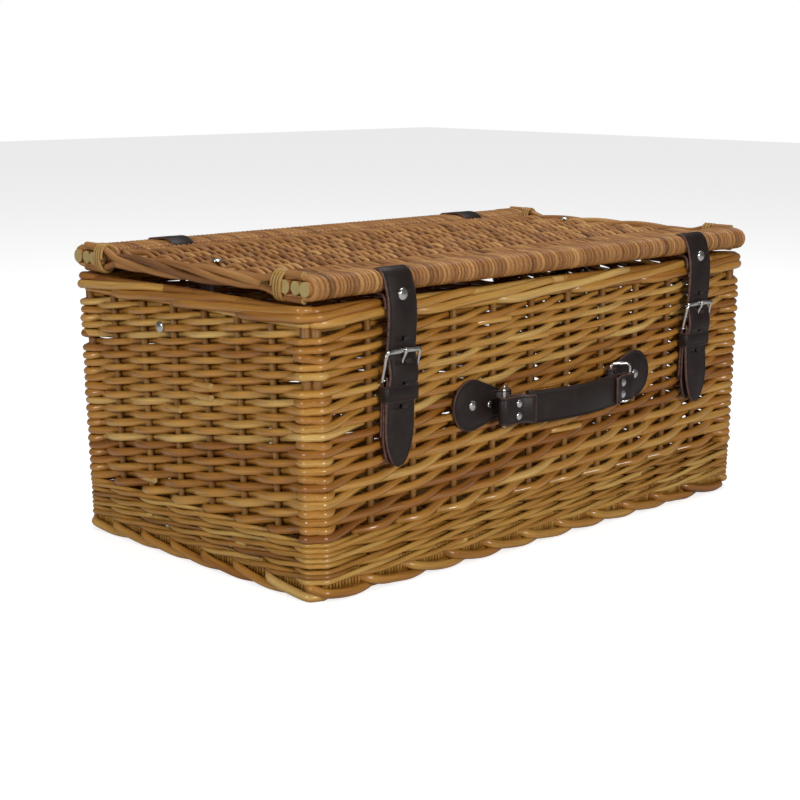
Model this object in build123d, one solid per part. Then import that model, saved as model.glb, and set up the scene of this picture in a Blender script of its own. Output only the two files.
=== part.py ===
from build123d import *
import math
import os

# Willow picnic hamper with a hinged lid, two buckled leather straps and a leather carrying handle.
# Millimetres. +X runs along the hamper, the front with the handle faces -Y, +Z is up.
# The origin is on the floor, at the centre of the whole object's box.

# ---- driving dimensions -------------------------------------------------------------------
WIDTH = 510.0            # outside of the walls at the rim, along X
DEPTH = 284.0            # outside of the walls, along Y
LEAN = 7.0               # each end wall leans out by this much from the floor to the rim
RIM = 211.0              # top of the rolled top border
WALL = 13.0              # thickness of the woven wall
PROUD = 2.0              # how far the waling and the borders stand out of the wall
FOOT_TOP = 12.0          # foot border, from the floor
WALING_BOTTOM = 15.0
WALING_TOP = 43.0
BORDER_BOTTOM = 195.0
BASE_THICK = 10.0
STAKE_R = 2.8
POST_R = 4.0
FRONT_STAKES = 10
FRONT_PITCH = 43.3
SIDE_STAKES = 6
SIDE_PITCH = 38.0

LID_UNDER = 215.5        # underside of the lid's stick bundles
LID_THICK = 14.0
BUNDLE = 34.0            # width of a bundle of three sticks, along Y
BUNDLE_STICK_R = 5.25
LID_PANEL_HALF = 231.0   # half length of the woven lid panel
LID_STICKS = 7
LID_STICK_PITCH = 27.0
LID_STICK_R = 4.0
PANEL_INSET = 1.5        # the panel is this much thinner than the bundles, above and below
BORDER_IN = 245.0        # side borders, along X
BORDER_OUT = 255.0

STRAP_X = {"left": -173.0, "right": 177.0}
STRAP_WIDTH = 28.0
STRAP_THICK = 2.4
STRAP_FOLD_Z = 206.0     # where the free end of a lid strap bends away from its riveted loop
STRAP_TIP_Z = 90.0
STRAP_HOLES = (182.0, 149.0, 133.0)         # round holes; the prong has a slot of its own
PRONG_SLOT_Z = 162.8
PRONG_SLOT_HALF = 5.0
STRAP_RIVET_Z = 119.0
LOOP_RIVET_Z = 212.0
HINGE_RIVET_Z = 203.0
CAP_SHARE = 0.8          # radius of a rivet's inner cap, as a share of its head's
CAP_THICK = 0.8
RIVET_BORE_R = 1.5
BAR_OUT = 4.6            # buckle pivot bar, distance out of the front wall
BAR_Z = 153.5
BAR_R = 1.2
FRAME_SLANT = 22.8
PRONG_SLANT = 28.8
KEEPER_BOTTOM = 137.5
KEEPER_TALL = 12.0

HINGE_STRAP_X = 170.0
HINGE_STRAP_WIDTH = 22.0
HINGE_OUT = 3.3          # hinge line, distance out of the back wall
HINGE_HEAD = 1.9         # height of the hinge rivets' heads

PATCH_X = 96.5           # centre of the round end of a handle patch
PATCH_Z = 122.5
PATCH_R = 19.7
RING_IN_X = 62.0         # ring bar held by the patch
RING_IN_OUT = 6.0
RING_OUT_X = 75.0        # ring bar held by the grip
RING_OUT_OUT = 15.1
RING_Z = 119.75
RING_TALL = 31.0
RING_WIRE_R = 1.3
GRIP_Z = 117.0
GRIP_TALL = 21.6
GRIP_OUT = 17.9          # middle of the grip's outer leather at its ends, out of the front wall
GRIP_BOW = 8.0           # how much further the middle of the grip stands out than its ends
GRIP_THICK = 7.0

STUD_Y = 26.0            # lid stay's rivet in the end wall
STUD_Z = 179.0
LID_STUD_Y = {"left": -7.0, "right": 43.0}
LID_STUD_Z = 208.0
STAY_LOWER = 0.45        # share of a stay below its fold
STAY_WIDTH = 12.0
LID_OPEN = 100.0

# ---- values worked out from them ----------------------------------------------------------
FRONT_REACH = GRIP_OUT + GRIP_BOW + GRIP_THICK / 2      # the grip's face is the foremost point
BACK_REACH = HINGE_OUT + 1 + HINGE_HEAD                 # hinge rivet heads are the rearmost
SHIFT_Y = (FRONT_REACH - BACK_REACH) / 2
LID_TOP = LID_UNDER + LID_THICK
LID_MID = (LID_UNDER + LID_TOP) / 2
BUNDLE_IN = DEPTH / 2 - BUNDLE
SIDES = {"left": -1, "right": 1}
TOP_ALIGN = (Align.CENTER, Align.CENTER, Align.MIN)


def half_width(z):
    return WIDTH / 2 - LEAN * (1 - z / RIM)


def front(out):
    return -DEPTH / 2 - out


# ---- small helpers ------------------------------------------------------------------------
def save(name, solids):
    moved = [Pos(0, SHIFT_Y, 0) * solid for solid in solids]
    export_step(Compound(children=moved) if len(moved) > 1 else moved[0], f"parts/{name}.step")


def block(x0, x1, y0, y1, z0, z1):
    centre = Pos((x0 + x1) / 2, (y0 + y1) / 2, (z0 + z1) / 2)
    return centre * Box(abs(x1 - x0), abs(y1 - y0), abs(z1 - z0))


def rod(start, end, radius):
    axis = Vector(*end) - Vector(*start)
    return Plane(origin=Vector(*start), z_dir=axis) * Cylinder(radius, axis.length, align=TOP_ALIGN)


def prism_y(outline, y0, y1):
    face = make_face(Polyline(*[(x, y0, z) for x, z in outline], close=True))
    return extrude(face, y1 - y0, dir=(0, 1, 0))


def prism_x(outline, x0, x1):
    face = make_face(Polyline(*[(x0, y, z) for y, z in outline], close=True))
    return extrude(face, x1 - x0, dir=(1, 0, 0))


def prism_z(outline, z0, z1):
    face = make_face(Polyline(*[(x, y, z0) for x, y in outline], close=True))
    return extrude(face, z1 - z0, dir=(0, 0, 1))


def strip(path, thickness):
    """Outline of a strip of even thickness whose middle line is an open path in a plane."""
    one_side = []
    other_side = []
    for i, (a, b) in enumerate(path):
        before = path[max(i - 1, 0)]
        after = path[min(i + 1, len(path) - 1)]
        turn_in = math.atan2(b - before[1], a - before[0]) if i else None
        turn_out = math.atan2(after[1] - b, after[0] - a) if i < len(path) - 1 else None
        first = turn_out if turn_in is None else turn_in
        last = turn_in if turn_out is None else turn_out
        half = math.remainder(last - first, 2 * math.pi) / 2
        reach = thickness / 2 / math.cos(half)
        normal = first + half + math.pi / 2
        one_side.append((a + reach * math.cos(normal), b + reach * math.sin(normal)))
        other_side.append((a - reach * math.cos(normal), b - reach * math.sin(normal)))
    return one_side + other_side[::-1]


def carve(solid, tools):
    for tool in tools:
        solid = solid - tool
    return solid


def dome_rivet(foot, out, length, shank_r, head_r, head_tall, cap=True):
    """Shank from foot along the direction out, with a domed head and a flat cap inside."""
    top = length + head_tall
    dome_r = (head_r**2 + head_tall**2) / (2 * head_tall)
    half_r = head_r / 2
    half_z = top - dome_r + math.sqrt(dome_r**2 - half_r**2)
    cap_r = head_r * CAP_SHARE
    inner_end = [(cap_r, 0, 0), (cap_r, 0, CAP_THICK), (shank_r, 0, CAP_THICK)] if cap else [(shank_r, 0, 0)]
    side = Polyline((0, 0, 0), *inner_end, (shank_r, 0, length), (head_r, 0, length))
    dome = ThreePointArc((head_r, 0, length), (half_r, 0, half_z), (0, 0, top))
    profile = make_face(side + dome + Line((0, 0, top), (0, 0, 0)))
    return Plane(origin=foot, z_dir=out) * revolve(profile, Axis.Z)


# ---- woven body ---------------------------------------------------------------------------
def wall_ring(z0, z1, outer, inner):
    """Four leaning walls that make a closed band: front, back, left and right."""
    low = half_width(z0)
    high = half_width(z1)
    long_wall = [(-low - outer, z0), (low + outer, z0), (high + outer, z1), (-high - outer, z1)]
    end_wall = [(low - inner, z0), (low + outer, z0), (high + outer, z1), (high - inner, z1)]
    y_out = DEPTH / 2 + outer
    y_in = DEPTH / 2 - inner
    band = {
        "front": prism_y(long_wall, -y_out, -y_in),
        "back": prism_y(long_wall, y_in, y_out),
        "right": prism_y(end_wall, -y_in, y_in),
    }
    band["left"] = band["right"].mirror(Plane.YZ)
    return band


def upright(share_x, y, radius):
    """Rod from the foot border up into the top border, leaning with the end walls."""
    low, high = 6.0, 205.0
    return rod((share_x * half_width(low), y, low), (share_x * half_width(high), y, high), radius)


def stakes():
    y = DEPTH / 2 - WALL / 2
    found = {}
    for name, sign in (("front", -1), ("back", 1)):
        places = [(i - (FRONT_STAKES - 1) / 2) * FRONT_PITCH for i in range(FRONT_STAKES)]
        found[name] = [upright(x / half_width(RIM), sign * y, STAKE_R) for x in places]
    for name, sign in SIDES.items():
        share = sign * (1 - WALL / 2 / half_width(RIM))
        places = [(i - (SIDE_STAKES - 1) / 2) * SIDE_PITCH for i in range(SIDE_STAKES)]
        found[name] = [upright(share, y, STAKE_R) for y in places]
    return found


def posts():
    found = {"front": [], "back": [], "left": [], "right": []}
    for name, sign in (("front", -1), ("back", 1)):
        for end in (-1, 1):
            for inset in (WALL / 2, WALL / 2 + 2 * POST_R + 1):
                share = end * (1 - inset / half_width(RIM))
                found[name].append(upright(share, sign * (DEPTH / 2 - WALL / 2), POST_R))
    return found


def wall_bores():
    """Holes that the rivets pass through, by wall."""
    found = {"front": [], "back": [], "left": [], "right": []}
    for side, sign in SIDES.items():
        places = [(sign * PATCH_X, PATCH_Z), (STRAP_X[side], STRAP_RIVET_Z)]
        for x, z in places:
            found["front"].append(rod((x, front(-WALL - 1), z), (x, front(1), z), RIVET_BORE_R))
        inner = sign * (half_width(STUD_Z) - WALL - 2)
        outer = sign * (half_width(STUD_Z) + 2)
        found[side].append(rod((inner, STUD_Y, STUD_Z), (outer, STUD_Y, STUD_Z), RIVET_BORE_R))
    return found


def border_bores():
    y = DEPTH / 2
    z = HINGE_RIVET_Z
    places = (-HINGE_STRAP_X, HINGE_STRAP_X)
    return {"back": [rod((x, y - WALL - 3, z), (x, y + 3, z), RIVET_BORE_R) for x in places]}


def make_body():
    uprights = stakes()
    corners = posts()
    bands = {
        "foot_border": (wall_ring(0.0, FOOT_TOP, PROUD, WALL), {}),
        "waling": (wall_ring(WALING_BOTTOM, WALING_TOP, PROUD, WALL), {}),
        "weave": (wall_ring(WALING_TOP, BORDER_BOTTOM, 0.0, WALL), wall_bores()),
        "top_border": (wall_ring(BORDER_BOTTOM, RIM, PROUD, WALL + 1), border_bores()),
    }
    for name, (band, bores) in bands.items():
        cut = {s: carve(w, uprights[s] + corners[s] + bores.get(s, [])) for s, w in band.items()}
        if name == "weave":
            for side, wall in cut.items():
                save(f"{side}_weave", [wall])
        else:
            save(name, list(cut.values()))
    save("wall_stakes", [rod_ for group in uprights.values() for rod_ in group])
    save("corner_posts", corners["front"] + corners["back"])


def make_base():
    half_x = half_width(WALING_BOTTOM) - WALL - 0.3
    half_y = DEPTH / 2 - WALL - 0.3
    mid = WALING_BOTTOM + BASE_THICK / 2
    sticks = [rod((-half_x, y, mid), (half_x, y, mid), 3.5) for y in (-100, -50, 0, 50, 100)]
    panel = block(-half_x, half_x, -half_y, half_y, WALING_BOTTOM, WALING_BOTTOM + BASE_THICK)
    save("base_weave", [carve(panel, sticks)])
    save("base_sticks", sticks)


# ---- lid ----------------------------------------------------------------------------------
def bundle(sign):
    middle = sign * (DEPTH / 2 - BUNDLE / 2)
    places = [middle - 10.8, middle, middle + 10.8]
    sticks = [rod((-253, y, LID_MID), (253, y, LID_MID), BUNDLE_STICK_R) for y in places]
    wrap = block(-250, 250, sign * BUNDLE_IN, sign * DEPTH / 2, LID_UNDER, LID_TOP)
    return sticks, carve(wrap, sticks)


def corner_binding(end, sign):
    """Split willow wound round the end of a side border, just inside its bundle."""
    y0, y1 = sign * (BUNDLE_IN - 9), sign * (BUNDLE_IN - 1)
    x0, x1 = end * BORDER_IN, end * BORDER_OUT
    low, high = LID_UNDER + PANEL_INSET, LID_TOP - PANEL_INSET
    around = block(x0 - end * 2, x1 + end * 2, y0, y1, low - 2, high + 2)
    return around - block(x0, x1, y0, y1, low, high)


def lid_slots():
    """Places at the panel's edges where a leather loop passes between panel and bundle."""
    slots = []
    for side, sign in SIDES.items():
        x = STRAP_X[side]
        half = STRAP_WIDTH / 2 + 0.5
        slots.append(block(x - half, x + half, -BUNDLE_IN - 1, -BUNDLE_IN + 3.2, LID_UNDER, LID_TOP))
        x = sign * HINGE_STRAP_X
        half = HINGE_STRAP_WIDTH / 2 + 0.5
        slots.append(block(x - half, x + half, BUNDLE_IN - 3.2, BUNDLE_IN + 1, LID_UNDER, LID_TOP))
        x = sign * (LID_PANEL_HALF - 5)
        y = LID_STUD_Y[side]
        slots.append(rod((x, y, LID_UNDER), (x, y, LID_TOP), 1.5))
    return slots


def make_lid():
    low, high = LID_UNDER + PANEL_INSET, LID_TOP - PANEL_INSET
    places = [(i - (LID_STICKS - 1) / 2) * LID_STICK_PITCH for i in range(LID_STICKS)]
    sticks = [rod((-BORDER_IN, y, LID_MID), (BORDER_IN, y, LID_MID), LID_STICK_R) for y in places]
    panel = block(-LID_PANEL_HALF, LID_PANEL_HALF, -BUNDLE_IN, BUNDLE_IN, low, high)
    save("lid_weave", [carve(panel, sticks + lid_slots())])
    save("lid_sticks", sticks)
    for name, sign in (("front", -1), ("back", 1)):
        bundle_sticks, wrap = bundle(sign)
        save(f"lid_{name}_sticks", bundle_sticks)
        save(f"lid_{name}_wrap", [wrap])
    for side, sign in SIDES.items():
        border = block(sign * BORDER_IN, sign * BORDER_OUT, -BUNDLE_IN, BUNDLE_IN, low, high)
        save(f"lid_{side}_border", [border])
    save("lid_corner_bindings", [corner_binding(end, sign) for end in (-1, 1) for sign in (-1, 1)])


def make_hinge_straps():
    loops = []
    tabs = []
    rivets = []
    y = DEPTH / 2
    for sign in (-1, 1):
        x0 = sign * HINGE_STRAP_X - HINGE_STRAP_WIDTH / 2
        x1 = x0 + HINGE_STRAP_WIDTH
        outside = block(x0, x1, BUNDLE_IN - 2.3, y + 2.3, LID_UNDER - 2.3, LID_TOP + 2.3)
        inside = block(x0, x1, BUNDLE_IN - 0.3, y + 0.3, LID_UNDER - 0.3, LID_TOP + 0.3)
        loops.append(outside - inside)
        x, z = sign * HINGE_STRAP_X, HINGE_RIVET_Z
        bore = rod((x, y, z), (x, y + 6, z), RIVET_BORE_R)
        tabs.append(block(x0, x1, y + PROUD + 0.3, y + HINGE_OUT + 1, 184, RIM - 1) - bore)
        foot = (x, y - WALL - 1.8, z)
        reach = WALL + 1.8 + HINGE_OUT + 1
        rivets.append(dome_rivet(foot, (0, 1, 0), reach, RIVET_BORE_R, 4.0, HINGE_HEAD))
    save("hinge_loops", loops)
    save("hinge_tabs", tabs)
    save("hinge_tab_rivets", rivets)


# ---- straps and buckles -------------------------------------------------------------------
def strap_loop(x0, x1):
    """Riveted leather loop round the front bundle: over its top, back under it and down."""
    inner_y = -BUNDLE_IN + 1.5
    top = LID_TOP + 1.5
    under = LID_UNDER - 1.5
    path = [
        (front(6.7), STRAP_FOLD_Z + 0.2),
        (front(6.7), 216.5),
        (front(1.8), top - 0.6),
        (front(0.4), top),
        (inner_y, top),
        (inner_y, under),
        (front(4.0), under),
        (front(4.0), 202.0),
    ]
    return prism_x(strip(path, STRAP_THICK), x0, x1)


def strap_tail(x):
    """Free end of a lid strap: out through the buckle, under the keeper, to a pointed tip."""
    middle = [(6.7, STRAP_FOLD_Z), (6.7, 192), (9.3, 176), (9.8, 154), (9.7, 140), (9.7, STRAP_TIP_Z)]
    half = STRAP_WIDTH / 2
    ribbon = prism_x(strip([(front(out), z) for out, z in middle], STRAP_THICK), x - half, x + half)
    tip = [(-half, STRAP_FOLD_Z + 5), (half, STRAP_FOLD_Z + 5), (half, STRAP_TIP_Z + 18),
           (4, STRAP_TIP_Z), (-4, STRAP_TIP_Z), (-half, STRAP_TIP_Z + 18)]
    tail = ribbon & prism_y([(x + a, z) for a, z in tip], front(20), front(0))
    hole_r = 1.7
    for z in STRAP_HOLES:
        tail = tail - rod((x, front(20), z), (x, front(0), z), hole_r)
    low, high = PRONG_SLOT_Z - PRONG_SLOT_HALF, PRONG_SLOT_Z + PRONG_SLOT_HALF
    return tail - block(x - hole_r, x + hole_r, front(20), front(0), low, high)


def buckle_strap(x):
    """Short strap folded over the buckle's pivot bar, with a slot for the prong."""
    half = STRAP_WIDTH / 2
    fold_in, fold_out = 1.3, 3.5
    tube = rod((x - half, front(BAR_OUT), BAR_Z), (x + half, front(BAR_OUT), BAR_Z), fold_out)
    bore = rod((x - half, front(BAR_OUT), BAR_Z), (x + half, front(BAR_OUT), BAR_Z), fold_in)
    fold = tube & block(x - half, x + half, front(20), front(-5), BAR_Z, BAR_Z + 10)
    outer = block(x - half, x + half, front(BAR_OUT + fold_in), front(BAR_OUT + fold_out), 92, BAR_Z)
    inner = block(x - half, x + half, front(BAR_OUT - fold_in), front(BAR_OUT - fold_out), 112, BAR_Z)
    strap = fold - bore + outer + inner
    strap = strap - block(x - 2.2, x + 2.2, front(12), front(-2), 150.5, 160)
    return strap - rod((x, front(-1), STRAP_RIVET_Z), (x, front(5), STRAP_RIVET_Z), RIVET_BORE_R)


def buckle_frame(x):
    """Pivot bar, two side arms and a flat top bar, leaning out across the strap."""
    bar = rod((-17, 0, 0), (17, 0, 0), BAR_R)
    arms = block(-17, -15.2, -1, 1, 0, 20.6) + block(15.2, 17, -1, 1, 0, 20.6)
    flat = block(-17, 17, -0.8, 0.8, 18.6, 22.6)
    return Pos(x, front(BAR_OUT), BAR_Z) * Rot(X=FRAME_SLANT) * (bar + arms + flat)


def prong(x):
    eye = rod((-1.5, 0, 0), (1.5, 0, 0), 2.6) - rod((-2, 0, 0), (2, 0, 0), BAR_R + 0.05)
    pin = rod((0, 0, 2), (0, 0, 24.6), 1.1)
    return Pos(x, front(BAR_OUT), BAR_Z) * Rot(X=PRONG_SLANT) * (eye + pin)


def keeper(x, bottom):
    outer = block(x - 16.6, x + 16.6, front(13.0), front(3.8), bottom, bottom + KEEPER_TALL)
    return outer - block(x - 15, x + 15, front(11.4), front(5.4), bottom, bottom + KEEPER_TALL)


def make_straps():
    loop_rivets = []
    strap_rivets = []
    for side, x in STRAP_X.items():
        half = STRAP_WIDTH / 2
        loop_hole = rod((x, front(0), LOOP_RIVET_Z), (x, front(9), LOOP_RIVET_Z), RIVET_BORE_R)
        save(f"{side}_strap_loop", [strap_loop(x - half, x + half) - loop_hole])
        save(f"{side}_strap_tail", [strap_tail(x)])
        save(f"{side}_buckle_strap", [buckle_strap(x)])
        save(f"{side}_buckle_frame", [buckle_frame(x)])
        save(f"{side}_prong", [prong(x)])
        save(f"{side}_keeper", [keeper(x, KEEPER_BOTTOM)])
        foot = (x, front(2.8), LOOP_RIVET_Z)
        loop_rivets.append(dome_rivet(foot, (0, -1, 0), 5.1, RIVET_BORE_R, 4.5, 2.0, cap=False))
        foot = (x, front(-WALL - 0.8), STRAP_RIVET_Z)
        strap_rivets.append(dome_rivet(foot, (0, -1, 0), WALL + 4.1, RIVET_BORE_R, 4.0, 1.4))
    save("strap_loop_rivets", loop_rivets)
    save("buckle_strap_rivets", strap_rivets)


# ---- carrying handle ----------------------------------------------------------------------
def handle_patch(sign):
    """Teardrop of leather whose narrow end is folded round the inner bar of a ring."""
    centre_x = sign * PATCH_X
    round_end = rod((centre_x, front(0.6), PATCH_Z), (centre_x, front(2.8), PATCH_Z), PATCH_R)
    low, high = RING_Z - 8.75, RING_Z + 12.25
    neck = [(centre_x, PATCH_Z - PATCH_R), (sign * RING_IN_X, low),
            (sign * RING_IN_X, high), (centre_x, PATCH_Z + PATCH_R)]
    plate = round_end + prism_y(neck, front(2.8), front(0.6))
    ends = (sign * RING_IN_X, front(RING_IN_OUT), low), (sign * RING_IN_X, front(RING_IN_OUT), high)
    bore = rod((sign * PATCH_X, front(0), PATCH_Z), (sign * PATCH_X, front(4), PATCH_Z), 1.5)
    return plate + rod(*ends, 3.6) - rod(*ends, RING_WIRE_R + 0.1) - bore


def ring(sign):
    reach = Vector(sign * (RING_OUT_X - RING_IN_X), RING_IN_OUT - RING_OUT_OUT, 0)
    middle = (sign * (RING_IN_X + RING_OUT_X) / 2, front((RING_IN_OUT + RING_OUT_OUT) / 2), RING_Z)
    seat = Plane(origin=middle, x_dir=reach, z_dir=(reach.Y, -reach.X, 0))
    path = RectangleRounded(reach.length, RING_TALL, 3.0).face().outer_wire()
    wire = sweep(Plane(origin=path @ 0, z_dir=path % 0) * Circle(RING_WIRE_R), path)
    return seat * wire


def grip_path(reach_x, layer_out):
    """Middle line of the grip: straight ends joined by a bow, in plan."""
    steps = 12
    bow = []
    for i in range(steps + 1):
        along = -1 + 2 * i / steps
        bow.append((along * 52.0, front(layer_out + GRIP_BOW * math.cos(along * math.pi / 2))))
    if reach_x <= 52.0:
        return bow
    return [(-reach_x, front(layer_out))] + bow + [(reach_x, front(layer_out))]


def grip_strap():
    """Strap inside the grip, its ends looped round the outer bars of both rings."""
    z0, z1 = GRIP_Z - GRIP_TALL / 2, GRIP_Z + GRIP_TALL / 2
    gap = RING_WIRE_R + 0.4
    layer = 2.2
    outer_out = RING_OUT_OUT + gap + layer / 2
    strap = prism_z(strip(grip_path(RING_OUT_X, outer_out), layer), z0, z1)
    for sign in (-1, 1):
        x = sign * RING_OUT_X
        low, high = (x, front(RING_OUT_OUT), z0), (x, front(RING_OUT_OUT), z1)
        bend = rod(low, high, gap + layer) - rod(low, high, gap)
        bend = bend & block(x, x + sign * 10, front(30), front(0), z0, z1)
        inner = block(x, sign * 54, front(RING_OUT_OUT - gap), front(RING_OUT_OUT - gap - layer), z0, z1)
        strap = strap + bend + inner
    return strap


def grip_rivet_places():
    return [(sign * 62.0, GRIP_Z + rise) for sign in (-1, 1) for rise in (-4.7, 4.7)]


def make_handle():
    patch_rivets = []
    for side, sign in SIDES.items():
        save(f"{side}_handle_patch", [handle_patch(sign)])
        save(f"{side}_ring", [ring(sign)])
        foot = (sign * PATCH_X, front(-WALL - 0.8), PATCH_Z)
        patch_rivets.append(dome_rivet(foot, (0, -1, 0), WALL + 3.6, 1.5, 4.0, 2.0))
    save("handle_patch_rivets", patch_rivets)
    holes = [rod((x, front(8), z), (x, front(25), z), 1.5) for x, z in grip_rivet_places()]
    strap = carve(grip_strap(), holes)
    save("grip_strap", [strap])
    sleeve = prism_z(strip(grip_path(52.0, GRIP_OUT), GRIP_THICK), GRIP_Z - 12.8, GRIP_Z + 12.8)
    save("grip_cover", [sleeve - strap])
    rivets = []
    for x, z in grip_rivet_places():
        rivets.append(dome_rivet((x, front(10.4), z), (0, -1, 0), 8.6, 1.5, 3.3, 1.5))
    save("grip_rivets", rivets)


# ---- lid stays ----------------------------------------------------------------------------
def turned(y, z, degrees):
    """Where a point of the lid is once the lid has opened by so many degrees."""
    hinge_y, hinge_z = DEPTH / 2 + HINGE_OUT, RIM + 0.2
    a = math.radians(degrees)
    dy, dz = y - hinge_y, z - hinge_z
    return hinge_y + dy * math.cos(a) + dz * math.sin(a), hinge_z - dy * math.sin(a) + dz * math.cos(a)


def stay_fold(side):
    """Lengths of a stay's two links, taut when the lid is open, and its fold when closed."""
    lid_y = LID_STUD_Y[side]
    open_y, open_z = turned(lid_y, LID_STUD_Z, LID_OPEN)
    taut = math.hypot(open_y - STUD_Y, open_z - STUD_Z)
    lower, upper = taut * STAY_LOWER, taut * (1 - STAY_LOWER)
    apart = math.hypot(lid_y - STUD_Y, LID_STUD_Z - STUD_Z)
    along = (lower**2 - upper**2 + apart**2) / (2 * apart)
    aside = math.sqrt(lower**2 - along**2)
    uy, uz = (lid_y - STUD_Y) / apart, (LID_STUD_Z - STUD_Z) / apart
    folds = []
    for turn in (-1, 1):
        fold_y = STUD_Y + along * uy - turn * aside * uz
        fold_z = STUD_Z + along * uz + turn * aside * uy
        folds.append((fold_y, fold_z))
    return min(folds, key=lambda fold: fold[1])


def link(x0, x1, start, end):
    """Flat strip with rounded ends between two points of a YZ plane."""
    way = Vector(0, end[0] - start[0], end[1] - start[1])
    middle = ((x0 + x1) / 2, (start[0] + end[0]) / 2, (start[1] + end[1]) / 2)
    seat = Plane(origin=middle, x_dir=way, z_dir=(1, 0, 0))
    flat = seat * SlotCenterToCenter(way.length, STAY_WIDTH)
    return extrude(flat, abs(x1 - x0) / 2, both=True)


def make_stays():
    studs = []
    lid_studs = []
    tabs = []
    for side, sign in SIDES.items():
        fold = stay_fold(side)
        stud = (STUD_Y, STUD_Z)
        lid_end = (LID_STUD_Y[side], LID_STUD_Z)
        hole = rod((sign * 230, STUD_Y, STUD_Z), (sign * 240, STUD_Y, STUD_Z), 1.6)
        save(f"{side}_stay_lower", [link(sign * 234.6, sign * 236.4, stud, fold) - hole])
        pin = rod((sign * 231, *lid_end), (sign * 237, *lid_end), 1.5)
        eye = rod((sign * 231, *lid_end), (sign * 237, *lid_end), 1.6)
        save(f"{side}_stay_upper", [link(sign * 232.2, sign * 234.0, lid_end, fold) - eye])
        far = half_width(STUD_Z) + 0.4
        foot = (sign * 233.6, STUD_Y, STUD_Z)
        studs.append(dome_rivet(foot, (sign, 0, 0), far - 233.6, 1.5, 4.5, 2.2))
        x = sign * (LID_PANEL_HALF - 5)
        y = LID_STUD_Y[side]
        foot = (x, y, LID_UNDER - 0.9)
        reach = LID_TOP - PANEL_INSET - foot[2]
        lid_studs.append(dome_rivet(foot, (0, 0, 1), reach, RIVET_BORE_R, 4.5, 2.2, cap=False))
        flat = block(sign * 220, sign * 236.4, y - 6, y + 6, 214.8, 216.8)
        flat = flat - rod((x, y, 214), (x, y, 218), 1.5)
        leaf = block(sign * 234.4, sign * 236.4, y - 6, y + 6, 203.5, 214.8)
        tabs.append(flat + (leaf - pin) + pin)
    save("wall_stay_studs", studs)
    save("lid_stay_studs", lid_studs)
    save("lid_stay_tabs", tabs)


os.makedirs("parts", exist_ok=True)
make_base()
make_body()
make_lid()
make_hinge_straps()
make_straps()
make_handle()
make_stays()
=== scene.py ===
"""Willow picnic hamper with leather straps and handle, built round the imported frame.

Lengths are millimetres in the hamper's own frame (its walls centred on x = 0, y = 0) until an
object is made, where they become metres in the row frame."""
import math

import bpy
import numpy as np
from mathutils import Matrix, Vector


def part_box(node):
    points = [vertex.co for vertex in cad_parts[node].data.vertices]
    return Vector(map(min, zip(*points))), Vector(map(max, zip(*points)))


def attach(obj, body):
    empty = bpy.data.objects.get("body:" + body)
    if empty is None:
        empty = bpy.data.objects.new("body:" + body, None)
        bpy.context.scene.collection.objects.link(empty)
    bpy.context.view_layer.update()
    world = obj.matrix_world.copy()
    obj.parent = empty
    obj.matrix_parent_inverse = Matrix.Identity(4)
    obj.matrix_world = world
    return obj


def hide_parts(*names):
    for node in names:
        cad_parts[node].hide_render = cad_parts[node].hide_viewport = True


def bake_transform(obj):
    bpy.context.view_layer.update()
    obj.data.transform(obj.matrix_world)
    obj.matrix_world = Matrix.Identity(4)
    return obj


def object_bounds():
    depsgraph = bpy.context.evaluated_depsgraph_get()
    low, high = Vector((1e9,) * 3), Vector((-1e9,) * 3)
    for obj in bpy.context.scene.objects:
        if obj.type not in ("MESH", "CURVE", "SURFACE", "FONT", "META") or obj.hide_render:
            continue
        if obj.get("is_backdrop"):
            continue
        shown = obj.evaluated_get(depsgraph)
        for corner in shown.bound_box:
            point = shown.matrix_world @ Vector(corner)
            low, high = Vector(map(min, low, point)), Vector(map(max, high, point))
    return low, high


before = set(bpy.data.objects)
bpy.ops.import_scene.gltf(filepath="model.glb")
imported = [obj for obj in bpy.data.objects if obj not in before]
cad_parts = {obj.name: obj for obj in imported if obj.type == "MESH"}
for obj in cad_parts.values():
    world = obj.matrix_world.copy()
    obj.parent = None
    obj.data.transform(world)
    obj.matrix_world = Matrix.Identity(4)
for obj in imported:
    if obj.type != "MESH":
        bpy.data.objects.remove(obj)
cad_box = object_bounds()

# ---- places and sizes, from the frame ---------------------------------------------------------
MM = 0.001
PROUD = 2.0
LEFT, RIGHT = -1, 1
SIDES = {"left": LEFT, "right": RIGHT}
X_AXIS = (1.0, 0.0, 0.0)
Y_AXIS = (0.0, 1.0, 0.0)
Z_AXIS = (0.0, 0.0, 1.0)
FORWARD = (0.0, -1.0, 0.0)


def box_mm(node):
    """A node's corners in millimetres, in the row frame."""
    low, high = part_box(node)
    return np.array(low) / MM, np.array(high) / MM


rim_low, rim_high = box_mm("top_border")
foot_low, foot_high = box_mm("foot_border")
weave_low, weave_high = box_mm("front_weave")
waling_low, waling_high = box_mm("waling")
lid_low, lid_high = box_mm("lid_front_wrap")
panel_low, panel_high = box_mm("lid_weave")
CENTRE_Y = (rim_low[1] + rim_high[1]) / 2
HALF_DEPTH = (rim_high[1] - rim_low[1]) / 2 - PROUD
HALF_RIM = (rim_high[0] - rim_low[0]) / 2 - PROUD
RIM = rim_high[2]
BORDER_BOTTOM = rim_low[2]
FOOT_TOP = foot_high[2]
LEAN = (rim_high[0] - foot_high[0]) / (RIM - FOOT_TOP)
WEAVE_BOTTOM, WEAVE_TOP = weave_low[2], weave_high[2]
WALING_BOTTOM, WALING_TOP = waling_low[2], waling_high[2]
LID_UNDER, LID_TOP = lid_low[2], lid_high[2]
LID_MID = (LID_UNDER + LID_TOP) / 2
BUNDLE_IN = HALF_DEPTH - (lid_high[1] - lid_low[1])
PANEL_HALF = panel_high[0]

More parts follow.
